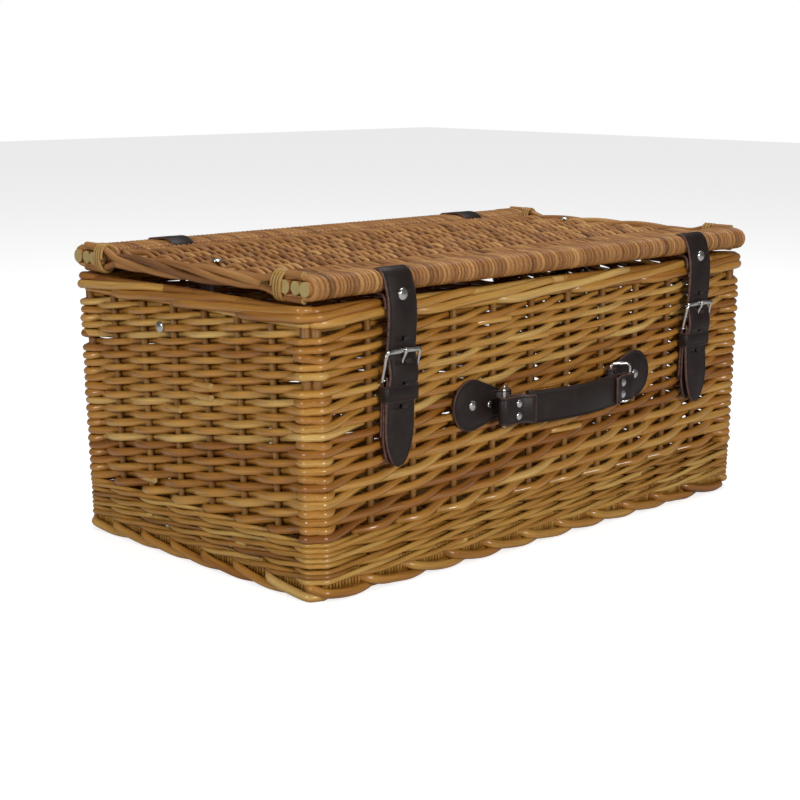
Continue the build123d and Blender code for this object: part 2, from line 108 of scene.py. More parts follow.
FRONT_STAKES, FRONT_PITCH = 10, 43.3
SIDE_STAKES, SIDE_PITCH = 6, 38.0
STATIONS = 2 * (FRONT_STAKES + SIDE_STAKES + 2)
WALL_MID = -7.0          # middle of the weave, measured out of the wall's face
SWING = 4.7              # how far a weaver stands to each side of the middle
rng = np.random.default_rng(23)


# ---- lines ------------------------------------------------------------------------------------
def unit(v):
    return v / np.maximum(np.linalg.norm(v, axis=-1, keepdims=True), 1e-9)


def curve(points, step):
    """Smooth line through the points, with a point about every step millimetres."""
    p = np.asarray(points, float)
    gap = np.linalg.norm(np.diff(p, axis=0), axis=1)
    at = np.concatenate([[0.0], np.cumsum(gap)])
    slope = np.diff(p, axis=0) / gap[:, None]
    tangent = np.vstack([slope[:1], slope[-1:]]) if len(p) == 2 else np.empty_like(p)
    if len(p) > 2:
        both = slope[:-1] * gap[1:, None] + slope[1:] * gap[:-1, None]
        tangent[1:-1] = both / (gap[:-1] + gap[1:])[:, None]
        tangent[0], tangent[-1] = slope[0], slope[-1]
    s = np.linspace(0, at[-1], max(2, math.ceil(at[-1] / step)) + 1)
    k = np.clip(np.searchsorted(at, s, side="right") - 1, 0, len(gap) - 1)
    h = gap[k][:, None]
    u = ((s - at[k]) / gap[k])[:, None]
    return (
        (2 * u**3 - 3 * u**2 + 1) * p[k]
        + (u**3 - 2 * u**2 + u) * h * tangent[k]
        + (3 * u**2 - 2 * u**3) * p[k + 1]
        + (u**3 - u**2) * h * tangent[k + 1]
    )


def arc(centre, radius, start, end, count):
    """Points on an arc in a plane, angles in degrees."""
    turn = np.radians(np.linspace(start, end, count))
    return np.column_stack([centre[0] + radius * np.cos(turn), centre[1] + radius * np.sin(turn)])


def half_width(z):
    return HALF_RIM - LEAN * (RIM - z)


CORNER = 14.0            # the weave turns each corner round two posts, as if on this radius
ARC = 22.0               # perimeter counted for one corner
CHAMFER = 2.2            # the bands lie flatter between the two posts
LONG = 2 * (HALF_RIM - CORNER)
SHORT = 2 * (HALF_DEPTH - CORNER)
RUNS = np.cumsum([0, LONG, ARC, SHORT, ARC, LONG, ARC, SHORT, ARC])
ROUND = RUNS[-1]


def around(places):
    """Points from (s along the perimeter, d out of the wall's face, z up)."""
    s, d, z = np.asarray(places, float).T
    s = np.mod(s, ROUND)
    part = np.clip(np.searchsorted(RUNS, s, side="right") - 1, 0, 7)
    wall = part // 2
    local = s - RUNS[part]
    end_wall = wall % 2 == 1
    reach = np.where(end_wall, HALF_DEPTH, half_width(z))
    face = np.where(end_wall, half_width(z), HALF_DEPTH)
    rest = np.where(end_wall, SHORT, LONG)
    turn = local / ARC * 90.0
    bent = CORNER + d - CHAMFER * np.maximum(0, 1 - ((turn - 45) / 28) ** 2)
    turn = np.radians(turn)
    on_arc = part % 2 == 1
    straight = (reach - CORNER) * (2 * local / rest - 1)
    along = np.where(on_arc, reach - CORNER + bent * np.sin(turn), straight)
    out = np.where(on_arc, face - CORNER + bent * np.cos(turn), face + d)
    x = np.choose(wall, [along, out, -along, -out])
    y = np.choose(wall, [-out, along, out, -along])
    return np.column_stack([x, y, z])


def station_places():
    """Perimeter place of every stake and corner, from the front left corner on."""
    found = []
    for wall in range(4):
        count, pitch = ((FRONT_STAKES, FRONT_PITCH), (SIDE_STAKES, SIDE_PITCH))[wall % 2]
        found.append(RUNS[2 * wall] - ARC / 2)
        middle = (RUNS[2 * wall] + RUNS[2 * wall + 1]) / 2
        found += [middle + (i - (count - 1) / 2) * pitch for i in range(count)]
    return found


STATION = station_places()
CORNER_STATIONS = (0, FRONT_STAKES + 1, STATIONS // 2, STATIONS // 2 + FRONT_STAKES + 1)


def station(k):
    return STATION[k % STATIONS] + ROUND * (k // STATIONS)


def is_corner(k):
    return k % STATIONS in CORNER_STATIONS


# ---- meshes -----------------------------------------------------------------------------------
class Solid:
    """Collects closed shapes with their point values, and makes one object of them."""

    def __init__(self, name):
        self.name = name
        self.points = []
        self.faces = []
        self.values = {"grain": [], "tint": [], "mark": []}
        self.count = 0

    def put(self, points, faces, grain, tint, mark):
        self.points.append(points)
        self.faces += [tuple(int(i) + self.count for i in face) for face in faces]
        self.values["grain"].append(grain)
        self.values["tint"].append(np.broadcast_to(tint, len(points)))
        self.values["mark"].append(np.broadcast_to(mark, len(points)))
        self.count += len(points)

    def rod(self, path, radius, tint=0.5, sides=8, up=Z_AXIS, flat=1.0, cut=(False, False)):
        """Rod along a path. up is never along the path; flat presses the rod in that direction."""
        path = np.asarray(path, float)
        steps = len(path)
        radius = np.broadcast_to(np.asarray(radius, float), steps)[:, None]
        way = unit(np.gradient(path, axis=0))
        side = unit(np.cross(way, up))
        over = np.cross(way, side)
        turn = np.arange(sides) / sides * 2 * math.pi
        wide = radius * np.cos(turn)
        tall = radius * np.sin(turn)
        ring = path[:, None] + wide[..., None] * side[:, None] + flat * tall[..., None] * over[:, None]
        along = np.concatenate([[0], np.cumsum(np.linalg.norm(np.diff(path, axis=0), axis=1))])
        grain = np.dstack([wide, tall, np.broadcast_to(along[:, None], wide.shape)]).reshape(-1, 3)
        index = np.arange(steps * sides).reshape(steps, sides)
        after = np.roll(index, -1, axis=1)
        faces = np.dstack([index[:-1], after[:-1], after[1:], index[1:]]).reshape(-1, 4).tolist()
        points = ring.reshape(-1, 3)
        mark = np.zeros(len(points))
        for last, is_cut in ((False, cut[0]), (True, cut[1])):
            rim = index[-1] if last else index[0][::-1]
            if is_cut:
                fresh = np.arange(len(points), len(points) + sides)
                points = np.vstack([points, points[rim]])
                grain = np.vstack([grain, grain[rim]])
                mark = np.concatenate([mark, np.ones(sides)])
                rim = fresh
            faces.append(rim.tolist())
        self.put(points, faces, grain * MM, tint, mark)

    def strip(self, path, wide, width, thick, closed=False, crease=2.2, soft=0.45, raw=(True, True),
              cut=1.0):
        """Leather strip: its width lies along wide, its good side along path x wide."""
        path = np.asarray(path, float)
        steps = len(path)
        ends = np.vstack([path[-1:], path, path[:1]]) if closed else path
        way = np.gradient(ends, axis=0)
        way = unit(way[1:-1] if closed else way)
        wide = np.broadcast_to(np.asarray(wide, float), path.shape)
        out = unit(np.cross(way, wide))
        half = np.broadcast_to(np.asarray(width, float) / 2, steps)[:, None]
        r = soft * thick
        half_t = thick / 2
        rows = [(r, -half_t, 0.0), (0.3 * r, 0.3 * r - half_t, cut), (0.0, 0.0, cut)]
        rows += [(0.3 * r, half_t - 0.3 * r, cut), (r, half_t, 0.0)]
        if crease:
            for step, drop in ((-0.45, 0.0), (0.0, 0.28), (0.45, 0.0)):
                rows.append((crease + step, half_t - drop, 0.0))
        profile = [(1, *row) for row in rows] + [(-1, *row) for row in rows[::-1]]
        sign, inset, rise, mark = (np.array(column, float) for column in zip(*profile))
        across = sign * np.maximum(half - inset, 0.05)
        ring = path[:, None] + across[..., None] * wide[:, None] + rise[:, None] * out[:, None]
        sides = len(profile)
        index = np.arange(steps * sides).reshape(steps, sides)
        rows_after = np.roll(index, -1, axis=0) if closed else index[1:]
        rows_here = index if closed else index[:-1]
        here, there = np.roll(rows_here, -1, axis=1), np.roll(rows_after, -1, axis=1)
        faces = np.dstack([rows_here, here, there, rows_after]).reshape(-1, 4).tolist()
        marks = np.tile(mark, (steps, 1))
        if not closed:
            faces += [index[0][::-1].tolist(), index[-1].tolist()]
            marks[0] = 1.0 if raw[0] else marks[0]
            marks[-1] = 1.0 if raw[1] else marks[-1]
        points = ring.reshape(-1, 3)
        self.put(points, faces, points * MM, 0.5, marks.reshape(-1))

    def plate(self, outline, seat, thick, tint=0.5, crease=2.4):
        """Flat leather shape: outline in a plane, whose seat maps (a, b, out) to space."""
        line = np.asarray(outline, float)
        ahead = unit(np.roll(line, -1, axis=0) - np.roll(line, 1, axis=0))
        inward = np.column_stack([-ahead[:, 1], ahead[:, 0]])
        rings = [(0.5, 0.0, 0.0), (0.1, 0.35, 1.0), (0.0, thick / 2, 1.0), (0.15, thick - 0.35, 1.0)]
        rings += [(0.7, thick, 0.0), (crease - 0.45, thick, 0.0), (crease, thick - 0.3, 0.0)]
        rings += [(crease + 0.45, thick, 0.0)]
        points = []
        marks = []
        for inset, out, mark in rings:
            place = line + inward * inset
            points.append(seat(np.column_stack([place, np.full(len(line), out)])))
            marks.append(np.full(len(line), mark))
        index = np.arange(len(rings) * len(line)).reshape(len(rings), len(line))
        after = np.roll(index, -1, axis=1)
        faces = np.dstack([index[:-1], after[:-1], after[1:], index[1:]]).reshape(-1, 4).tolist()
        faces += [index[0][::-1].tolist(), index[-1].tolist()]
        points = np.vstack(points)
        self.put(points, faces, points * MM, tint, np.concatenate(marks))

    def turned(self, foot, axis, profile, tint=0.5, sides=20):
        """Lathe shape: profile of (radius, height) up the axis from the foot, closed at both ends."""
        axis = unit(np.asarray(axis, float))
        side = unit(np.cross(axis, X_AXIS if abs(axis[0]) < 0.9 else Y_AXIS))
        over = np.cross(axis, side)
        turn = np.arange(sides) / sides * 2 * math.pi
        spoke = np.cos(turn)[:, None] * side + np.sin(turn)[:, None] * over
        rings = [np.asarray(foot) + spoke * r + axis * h for r, h in profile]
        index = np.arange(len(profile) * sides).reshape(len(profile), sides)
        after = np.roll(index, -1, axis=1)
        faces = np.dstack([index[:-1], after[:-1], after[1:], index[1:]]).reshape(-1, 4).tolist()
        faces += [index[0][::-1].tolist(), index[-1].tolist()]
        points = np.vstack(rings)
        self.put(points, faces, points * MM, tint, 0.0)

    def made(self, material):
        mesh = bpy.data.meshes.new(self.name)
        points = (np.vstack(self.points) + (0.0, CENTRE_Y, 0.0)) * MM
        mesh.from_pydata(points.tolist(), [], self.faces)
        for name, kind, field in (("grain", "FLOAT_VECTOR", "vector"), ("tint", "FLOAT", "value"),
                                  ("mark", "FLOAT", "value")):
            values = np.concatenate(self.values[name]).astype(np.float32)
            mesh.attributes.new(name, kind, "POINT").data.foreach_set(field, values.ravel())
        mesh.polygons.foreach_set("use_smooth", np.ones(len(mesh.polygons), dtype=bool))
        mesh.materials.append(material)
        mesh.update()
        made = bpy.data.objects.new(self.name, mesh)
        bpy.context.collection.objects.link(made)
        return made


def place(solid, material, slot, nodes=(), body=None):
    """Makes the object, gives it its body, and lets it stand for the CAD nodes."""
    made = solid.made(material)
    if body:
        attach(made, body)
    if nodes:
        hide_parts(*nodes)
    return made


# ---- materials --------------------------------------------------------------------------------
class Tree:
    """Node tree of a material or a world, with short names for the nodes used here."""

    def __init__(self, owner):
        owner.use_nodes = True
        self.nodes = owner.node_tree.nodes
        self.links = owner.node_tree.links

    def feed(self, socket, value):
        if isinstance(value, bpy.types.NodeSocket):
            self.links.new(value, socket)
        else:
            socket.default_value = (*value, 1.0) if isinstance(value, tuple) else value

    def attribute(self, name, output="Fac"):
        node = self.nodes.new("ShaderNodeAttribute")
        node.attribute_name = name
        return node.outputs[output]

    def ramp(self, factor, stops):
        node = self.nodes.new("ShaderNodeValToRGB")
        while len(node.color_ramp.elements) < len(stops):
            node.color_ramp.elements.new(0.5)
        for element, (position, colour) in zip(node.color_ramp.elements, stops):
            element.position = position
            element.color = (*colour, 1.0)
        self.feed(node.inputs["Fac"], factor)
        return node.outputs["Color"]

    def mixed(self, kind, factor, one, two):
        node = self.nodes.new("ShaderNodeMix")
        node.data_type = "RGBA"
        node.blend_type = kind
        for name, value in (("Factor", factor), ("A", one), ("B", two)):
            self.feed(next(s for s in node.inputs if s.name == name and s.enabled), value)
        return next(s for s in node.outputs if s.enabled)

    def noise(self, vector, scale, detail=3.0, rough=0.5):
        node = self.nodes.new("ShaderNodeTexNoise")
        self.feed(node.inputs["Vector"], vector)
        for name, value in (("Scale", scale), ("Detail", detail), ("Roughness", rough)):
            node.inputs[name].default_value = value
        return node.outputs["Fac"]

    def maths(self, kind, *values):
        node = self.nodes.new("ShaderNodeMath")
        node.operation = kind
        for socket, value in zip(node.inputs, values):
            self.feed(socket, value)
        return node.outputs[0]

    def surface(self, colour, gloss, rough, height, strength, depth, fixed):
        """Feeds the shader: colour, roughness within a range, bump, and fixed values by name."""
        shader = self.nodes["Principled BSDF"]
        self.feed(shader.inputs["Base Color"], colour)
        span = self.nodes.new("ShaderNodeMapRange")
        for name, value in zip(("Value", "To Min", "To Max"), (gloss, *rough)):
            self.feed(span.inputs[name], value)
        self.feed(shader.inputs["Roughness"], span.outputs["Result"])
        bump = self.nodes.new("ShaderNodeBump")
        for name, value in (("Strength", strength), ("Distance", depth), ("Height", height)):
            self.feed(bump.inputs[name], value)
        self.feed(shader.inputs["Normal"], bump.outputs["Normal"])
        for name, value in fixed.items():
            shader.inputs[name].default_value = value


WALL_TONES = ((0.05, (0.17, 0.050, 0.007)), (0.3, (0.34, 0.128, 0.018)), (0.55, (0.50, 0.225, 0.036)),
              (0.8, (0.60, 0.32, 0.068)), (1.0, (0.72, 0.46, 0.14)))
WALE_TONES = ((0.05, (0.22, 0.080, 0.011)), (0.4, (0.43, 0.195, 0.030)), (0.7, (0.54, 0.28, 0.052)),
              (1.0, (0.66, 0.41, 0.11)))
STAKE_TONES = ((0.05, (0.13, 0.045, 0.008)), (0.5, (0.24, 0.10, 0.018)), (1.0, (0.38, 0.19, 0.04)))
LID_TONES = ((0.05, (0.15, 0.055, 0.014)), (0.4, (0.34, 0.145, 0.038)), (0.75, (0.46, 0.215, 0.062)),
             (1.0, (0.58, 0.32, 0.105)))
SKEIN_TONES = ((0.1, (0.26, 0.13, 0.030)), (0.6, (0.44, 0.25, 0.065)), (1.0, (0.58, 0.37, 0.12)))
PITH = (0.46, 0.34, 0.13)
KNOT = (0.10, 0.045, 0.016)
FIBRE_SCALE = (520.0, 520.0, 26.0)      # noise steps in a metre across a rod, twice, and along it


def willow(name, stops, rough, varnish=0.0):
    """Peeled willow: each rod has its own tone, with fibres along it and pale pith where cut."""
    material = bpy.data.materials.new(name)
    tree = Tree(material)
    tint = tree.attribute("tint")
    shift = tree.nodes.new("ShaderNodeCombineXYZ")
    tree.feed(shift.inputs["X"], tree.maths("MULTIPLY", tint, 91.0))
    tree.feed(shift.inputs["Z"], tree.maths("MULTIPLY", tint, 57.0))
    stretch = tree.nodes.new("ShaderNodeVectorMath")
    stretch.operation = "MULTIPLY_ADD"
    stretch.inputs[1].default_value = FIBRE_SCALE
    tree.feed(stretch.inputs[0], tree.attribute("grain", "Vector"))
    tree.feed(stretch.inputs[2], shift.outputs["Vector"])
    spot = stretch.outputs["Vector"]
    fibres = tree.noise(spot, 1.0, 4.0, 0.62)
    broad = tree.noise(spot, 0.32, 2.0)
    colour = tree.ramp(tree.maths("ADD", tint, tree.maths("MULTIPLY_ADD", broad, 0.9, -0.45)), stops)
    streaks = tree.ramp(fibres, ((0.32, (0.52, 0.46, 0.40)), (0.62, (1.0, 1.0, 1.0))))
    colour = tree.mixed("MULTIPLY", 0.55, colour, streaks)
    knots = tree.ramp(tree.noise(spot, 0.75, 5.0, 0.7), ((0.66, (0.0, 0.0, 0.0)), (0.76, (1.0, 1.0, 1.0))))
    colour = tree.mixed("MIX", tree.maths("MULTIPLY", knots, 0.5), colour, KNOT)
    colour = tree.mixed("MIX", tree.attribute("mark"), colour, PITH)
    fixed = {"Specular IOR Level": 0.5, "Coat Weight": varnish, "Coat Roughness": 0.16}
    tree.surface(colour, fibres, rough, fibres, 0.3, 0.0006, fixed)
    return material


def leather_material():
    """Dark, lightly shiny leather with a fine grain and raw, reddish cut edges."""
    material = bpy.data.materials.new("dark_leather")
    tree = Tree(material)
    spot = tree.attribute("grain", "Vector")
    cells = tree.nodes.new("ShaderNodeTexVoronoi")
    cells.inputs["Scale"].default_value = 1500.0
    tree.feed(cells.inputs["Vector"], spot)
    wear = tree.noise(spot, 90.0, 5.0, 0.65)
    body = tree.ramp(wear, ((0.3, (0.010, 0.0055, 0.0048)), (0.62, (0.019, 0.0105, 0.009)),
                            (0.8, (0.040, 0.024, 0.020))))
    edge = tree.ramp(tree.noise(spot, 420.0), ((0.3, (0.05, 0.022, 0.017)), (0.7, (0.17, 0.085, 0.068))))
    colour = tree.mixed("MIX", tree.attribute("mark"), body, edge)
    height = tree.maths("ADD", tree.maths("MULTIPLY", cells.outputs["Distance"], 0.6), wear)
    tree.surface(colour, wear, (0.36, 0.62), height, 0.28, 0.0004, {"Specular IOR Level": 0.35})
    return material


def nickel_material():
    """Bright plated metal, a little scuffed."""
    material = bpy.data.materials.new("bright_nickel")
    tree = Tree(material)
    scuff = tree.noise(tree.attribute("grain", "Vector"), 260.0, 6.0, 0.7)
    colour = tree.ramp(scuff, ((0.3, (0.50, 0.49, 0.47)), (0.6, (0.72, 0.71, 0.69))))
    tree.surface(colour, scuff, (0.14, 0.34), scuff, 0.06, 0.0003, {"Metallic": 1.0})
    return material


wall_willow = willow("wall_willow", WALL_TONES, (0.20, 0.36), 0.4)
wale_willow = willow("wale_willow", WALE_TONES, (0.24, 0.42), 0.25)
border_willow = willow("border_willow", WALL_TONES, (0.22, 0.40), 0.25)
stake_willow = willow("stake_willow", STAKE_TONES, (0.40, 0.58))
lid_willow = willow("lid_willow", LID_TONES, (0.42, 0.62))
stick_willow = willow("stick_willow", LID_TONES, (0.42, 0.60))
skein = willow("binding_skein", SKEIN_TONES, (0.34, 0.5))
leather = leather_material()
nickel = nickel_material()


# ---- woven walls ------------------------------------------------------------------------------
BAND = 6.1               # spacing of the bands that wrap a corner
STEPS = 28               # stations that one weaver climbs past, from the waling to the top border
BUTT_R, TIP_R = 3.5, 2.65
OUT = WALL_MID + SWING
IN = WALL_MID - SWING


def tone():
    return float(np.clip(rng.normal(0.58, 0.19), 0.02, 1.0))


def climb(j):
    """Height of a weaver at its step j: the rises shrink as the rods get thinner."""
    first, shrink = 6.3, 0.0335
    return WEAVE_BOTTOM + 3.2 + first * j - shrink * j * j


def band_height(z):
    """Nearest of the evenly stacked heights at which rods wrap a corner."""
    return WEAVE_BOTTOM + (round((z - WEAVE_BOTTOM) / BAND - 0.5) + 0.5) * BAND


def weaver_controls(start):
    """One rod that starts at a station and climbs: out past one stake, in behind the next."""
    found = [(station(start) - 16, IN, climb(-0.5))]
    for j in range(STEPS):
        k = start + j
        s = station(k)
        z = climb(j) + rng.normal(0, 0.3)
        outside = j % 2 == 0
        if not is_corner(k):
            found.append((s, (OUT if outside else IN) + rng.normal(0, 0.25), z))
        elif outside:
            z = min(band_height(z), WEAVE_TOP - 2)
            for step, drop in ((-13, -0.2), (0, 0.0), (13, -0.2)):
                found.append((s + step, OUT + drop, z + 0.05 * step))
        else:
            for step, deep in ((-12, -11.5), (0, -13.0), (12, -11.5)):
                found.append((s + step, deep, z + 0.1 * step))
    found.append((station(start + STEPS) - 18, IN, climb(STEPS - 0.6)))
    return found


def wall_of(s):
    return int(np.searchsorted(RUNS[::2], np.mod(s + ARC / 2, ROUND), side="right") - 1)


def make_weave():
    """French rand: a rod starts at every station, and each climbs the wall on its own."""
    walls = [Solid(f"{wall}_weave_rods") for wall in ("front", "right", "back", "left")]
    for start in range(STATIONS):
        line = curve(weaver_controls(start), 3.1)
        radius = np.linspace(BUTT_R, TIP_R, len(line)) * rng.uniform(0.95, 1.06)
        tint = tone()
        cuts = [0]
        for k in range(start + 1, start + STEPS):
            if is_corner(k):
                hidden = station(k - 1) if (k - start) % 2 == 0 else station(k)
                cuts.append(int(np.searchsorted(line[:, 0], hidden)))
        cuts = sorted({c for c in cuts if c < len(line) - 3}) + [len(line) - 1]
        for first, last in zip(cuts, cuts[1:]):
            if last - first < 3:
                continue
            part = slice(first, last + 1)
            solid = walls[wall_of(line[(first + last) // 2, 0])]
            solid.rod(around(line[part]), radius[part], tint, sides=8)
    for w, (wall, solid) in enumerate(zip(("front", "right", "back", "left"), walls)):
        corner_fillers(solid, CORNER_STATIONS[w])
        cut_tips(solid, CORNER_STATIONS[w], (*CORNER_STATIONS, STATIONS)[w + 1])
        place(solid, wall_willow, "wall_willow", [f"{wall}_weave"], "basket")


def corner_fillers(solid, k):
    """Short rods that wrap only the posts, between the rods that turn the corner outside."""
    taken = {round((band_height(climb(j)) - WEAVE_BOTTOM) / BAND - 0.5) for j in range(0, STEPS, 2)}
    for band in range(int((WEAVE_TOP - WEAVE_BOTTOM) / BAND)):
        if band in taken:
            continue
        z = WEAVE_BOTTOM + (band + 0.5) * BAND
        s = station(k)
        tilt = rng.normal(0, 0.4)
        controls = [(s - 24, -12.5, z - 2 + tilt), (s - 12, OUT, z - tilt), (s, OUT, z),
                    (s + 12, OUT, z + tilt), (s + 24, -12.5, z + 2)]
        solid.rod(around(curve(controls, 2.6)), 3.15 * rng.uniform(0.95, 1.06), tone(), sides=8)


def cut_tips(solid, first, last):
    """A few rod ends left proud of the wall, cut on the slant."""
    for _ in range(5 if last - first > 8 else 4):
        k = int(rng.integers(first + 2, last - 1))
        z = rng.uniform(WEAVE_BOTTOM + 12, WEAVE_TOP - 10)
        s = station(k)
        controls = [(s - 20, IN + 2, z - 1.5), (s - 9, OUT - 1.6, z), (s + 3, OUT + 0.8, z + 0.6),
                    (s + 12, OUT + 1.5, z + 1.0)]
        solid.rod(around(curve(controls, 2.6)), 2.4, 0.86, sides=8, cut=(False, True))


def upright(solid, s, d, low, high, radius, tint):
    path = around([(s, d, z) for z in np.linspace(low, high, 9)])
    on_end_wall = abs(path[0][1]) < HALF_DEPTH - 20
    solid.rod(path, radius, tint, sides=10, up=Y_AXIS if on_end_wall else X_AXIS)


def make_uprights():
    stakes = Solid("wall_stake_rods")
    posts = Solid("corner_post_rods")
    for k in range(STATIONS):
        if is_corner(k):
            for step in (-9.5, 9.5):
                upright(posts, station(k) + step, -8.3, 4, RIM - 7, 3.9, 0.62)
        else:
            upright(stakes, station(k), WALL_MID, 5, RIM - 8, 2.7, float(rng.uniform(0.5, 0.95)))
    place(stakes, stake_willow, "stake_willow", ["wall_stakes"], "basket")
    place(posts, stake_willow, "stake_willow", ["corner_posts"], "basket")


def make_waling():
    """Four rounds of a three-rod wale: over two stakes, behind the third, rising as they go."""
    solid = Solid("waling_rods")
    rounds = 4
    tall = (WALING_TOP - WALING_BOTTOM + 3.0) / rounds
    for turn in range(rounds):
        middle = WALING_BOTTOM - 2.0 + (turn + 0.5) * tall
        for strand in range(3):
            hidden = [k for k in range(STATIONS) if (k + strand + turn) % 3 == 0]
            for start in hidden[::2]:
                wale_rod(solid, start, middle, tall)
    for k in (3, 8, 13, 22, 31, 34):
        s = station(k)
        z = rng.uniform(WALING_BOTTOM + 2, WALING_TOP - 6)
        controls = [(s - 14, IN, z - 2), (s - 5, OUT, z), (s + 8, OUT + 1.6, z + 2)]
        solid.rod(around(curve(controls, 2.5)), 2.0, 0.95, cut=(False, True))
    place(solid, wale_willow, "border_willow", ["waling"], "basket")


def wale_rod(solid, start, middle, tall):
    """One rod of a wale, over two strokes and into the next one's start."""
    controls = []
    for k in range(start, start + 7):
        phase = (k - start) % 3
        s = station(k)
        z = middle + tall * (-0.27, -0.24, 0.27)[phase] + rng.normal(0, 0.25)
        if phase == 0:
            controls.append((s, IN - 0.3, middle if k > start else middle + 1))
        elif is_corner(k):
            controls += [(s - 12, OUT + 1.0, z - 0.4), (s, OUT + 1.2, z), (s + 12, OUT + 1.0, z + 0.4)]
        else:
            controls.append((s, OUT + (1.1 if phase == 1 else 1.6), z))
    radius = 1.95 * rng.uniform(0.92, 1.12)
    tint = float(np.clip(rng.normal(0.62, 0.17), 0.05, 1))
    solid.rod(around(curve(controls, 3.4)), radius, tint, sides=7)


def foot_strokes(solid, starts):
    """One thick rod end per stake: bent out just under the waling, then down under the next."""
    for s in starts:
        low = 3.5
        high = FOOT_TOP - 2.2 + rng.normal(0, 0.4)
        controls = [(s - 3, -11.0, high + 2), (s + 0.5, -5.0, high + 1.2), (s + 4, -1.9, high),
                    (s + 14, -1.2, high - 2.6), (s + 28, -1.2, low + 1.6), (s + 46, -2.4, low),
                    (s + 60, -6.0, low), (s + 70, -10.5, low + 0.5)]
        line = curve(controls, 2.8)
        size = 3.6 * (1 - 0.12 * np.linspace(0, 1, len(line))) * rng.uniform(0.96, 1.04)
        size = np.minimum(size, line[:, 2] - 0.1)
        solid.rod(around(line), size, tone(), sides=10)


def stroke_border(solid, starts, length, z0, z1, radius, rise_in, sink):
    """Thick rods that come out past a stake, run along the wall and sink behind the next ones."""
    for s in starts:
        run = length * rng.uniform(0.93, 1.07)
        lift = rng.normal(0, 0.3)
        controls = [
            (s - 5, -10.0, rise_in),
            (s + 1.5, -4.0, z0 + 0.35 * (rise_in - z0)),
            (s + 7, -1.9, z0 + lift),
            (s + 0.30 * run, -1.3, z0 + 0.28 * (z1 - z0) + lift),
            (s + 0.62 * run, -1.6, z0 + 0.62 * (z1 - z0)),
            (s + 0.86 * run, -3.6, z1 - 0.3),
            (s + run, -9.5, sink),
        ]
        line = curve(controls, 3.6)
        size = radius * (1 - 0.16 * np.linspace(0, 1, len(line))) * rng.uniform(0.95, 1.05)
        solid.rod(around(line), size, tone(), sides=10)


def closed_run(solid, d, z, radius, wave=0.6):
    """Rods that run all the way round inside a border, so it has no hollow."""
    cuts = np.linspace(0, ROUND, 9) + 60
    for start, end in zip(cuts, cuts[1:]):
        steps = np.linspace(start - 4, end + 4, 60)
        heights = z + wave * np.sin(steps / 31.0)
        solid.rod(around(np.column_stack([steps, np.full(60, d), heights])), radius, tone(), sides=8)


def make_borders():
    top = Solid("top_border_rods")
    starts = [station(k) + 6 for k in range(0, STATIONS, 2)]
    stroke_border(top, starts, 168.0, BORDER_BOTTOM + 3.6, RIM - 3.4, 3.7, BORDER_BOTTOM + 3, RIM - 5)
    closed_run(top, -6.2, RIM - 4.6, 3.6)
    closed_run(top, -6.8, BORDER_BOTTOM + 3.0, 3.2)
    closed_run(top, -11.0, BORDER_BOTTOM + 8.5, 3.6)
    place(top, border_willow, "border_willow", ["top_border"], "basket")
    foot = Solid("foot_border_rods")
    foot_strokes(foot, [station(k) - 10 for k in range(STATIONS)])
    closed_run(foot, -8.0, 4.2, 3.8, wave=0.2)
    closed_run(foot, -11.5, 9.0, 3.0, wave=0.2)
    place(foot, border_willow, "border_willow", ["foot_border"], "basket")


# ---- base -------------------------------------------------------------------------------------
def woven_panel(solid, half_x, half_y, middle, sticks, swing, width, radius_share, sides=6):
    """Weavers that run front to back, over and under long sticks at the given y."""
    edges = spaced(-half_x, half_x, width)
    for i, (x, size) in enumerate(edges):
        controls = [(x, -half_y, middle)]
        for j, y in enumerate(sticks):
            rise = swing if (i + j) % 2 else -swing
            controls.append((x + rng.normal(0, 0.25), y, middle + rise))
        controls.append((x, half_y, middle))
        solid.rod(curve(controls, 5.0), size * radius_share, tone(), sides=sides, up=X_AXIS)


def spaced(low, high, width):
    """Middles and widths of side by side rods of uneven thickness that fill a length."""
    sizes = np.clip(rng.normal(width, 0.28 * width, int((high - low) / width)), 0.65 * width, 1.7 * width)
    sizes *= (high - low) / sizes.sum()
    edges = low + np.concatenate([[0], np.cumsum(sizes)])
    return list(zip((edges[:-1] + edges[1:]) / 2, sizes))


def make_base():
    low, high = box_mm("base_weave")
    middle = (low[2] + high[2]) / 2
    half_x = (high[0] - low[0]) / 2
    half_y = (high[1] - low[1]) / 2
    sticks_y = (-100, -50, 0, 50, 100)
    weave = Solid("base_weave_rods")
    woven_panel(weave, half_x, half_y, middle, sticks_y, 3.6, 5.2, 0.52)
    place(weave, wale_willow, "wall_willow", ["base_weave"], "basket")
    sticks = Solid("base_stick_rods")
    for y in sticks_y:
        for step in (-3.4, 3.4):
            path = [(x, y + step, middle) for x in np.linspace(-half_x, half_x, 12)]
            sticks.rod(path, 2.9, 0.6, sides=8, cut=(True, True))
    place(sticks, stake_willow, "stake_willow", ["base_sticks"], "basket")
    edge = Solid("base_edge_turns")
    for s in np.arange(0, ROUND, 3.1):
        path = around([(s, -5.4, z) for z in np.linspace(FOOT_TOP - 5, WALING_BOTTOM + 5, 4)])
        way = Y_AXIS if abs(path[0][1]) < HALF_DEPTH - 16 else X_AXIS
        edge.rod(path, 1.25, tone(), sides=6, up=way)
    place(edge, wale_willow, "wall_willow", (), "basket")


# ---- lid --------------------------------------------------------------------------------------
LID_STICKS_Y = [(i - 3) * 27.0 for i in range(7)]
BUNDLE_R = 5.25
BUNDLE_STEP = 10.8
WEAVER_WIDTH = 4.1
WEAVER_THICK = 2.0       # half the thickness of a lid weaver; its width varies


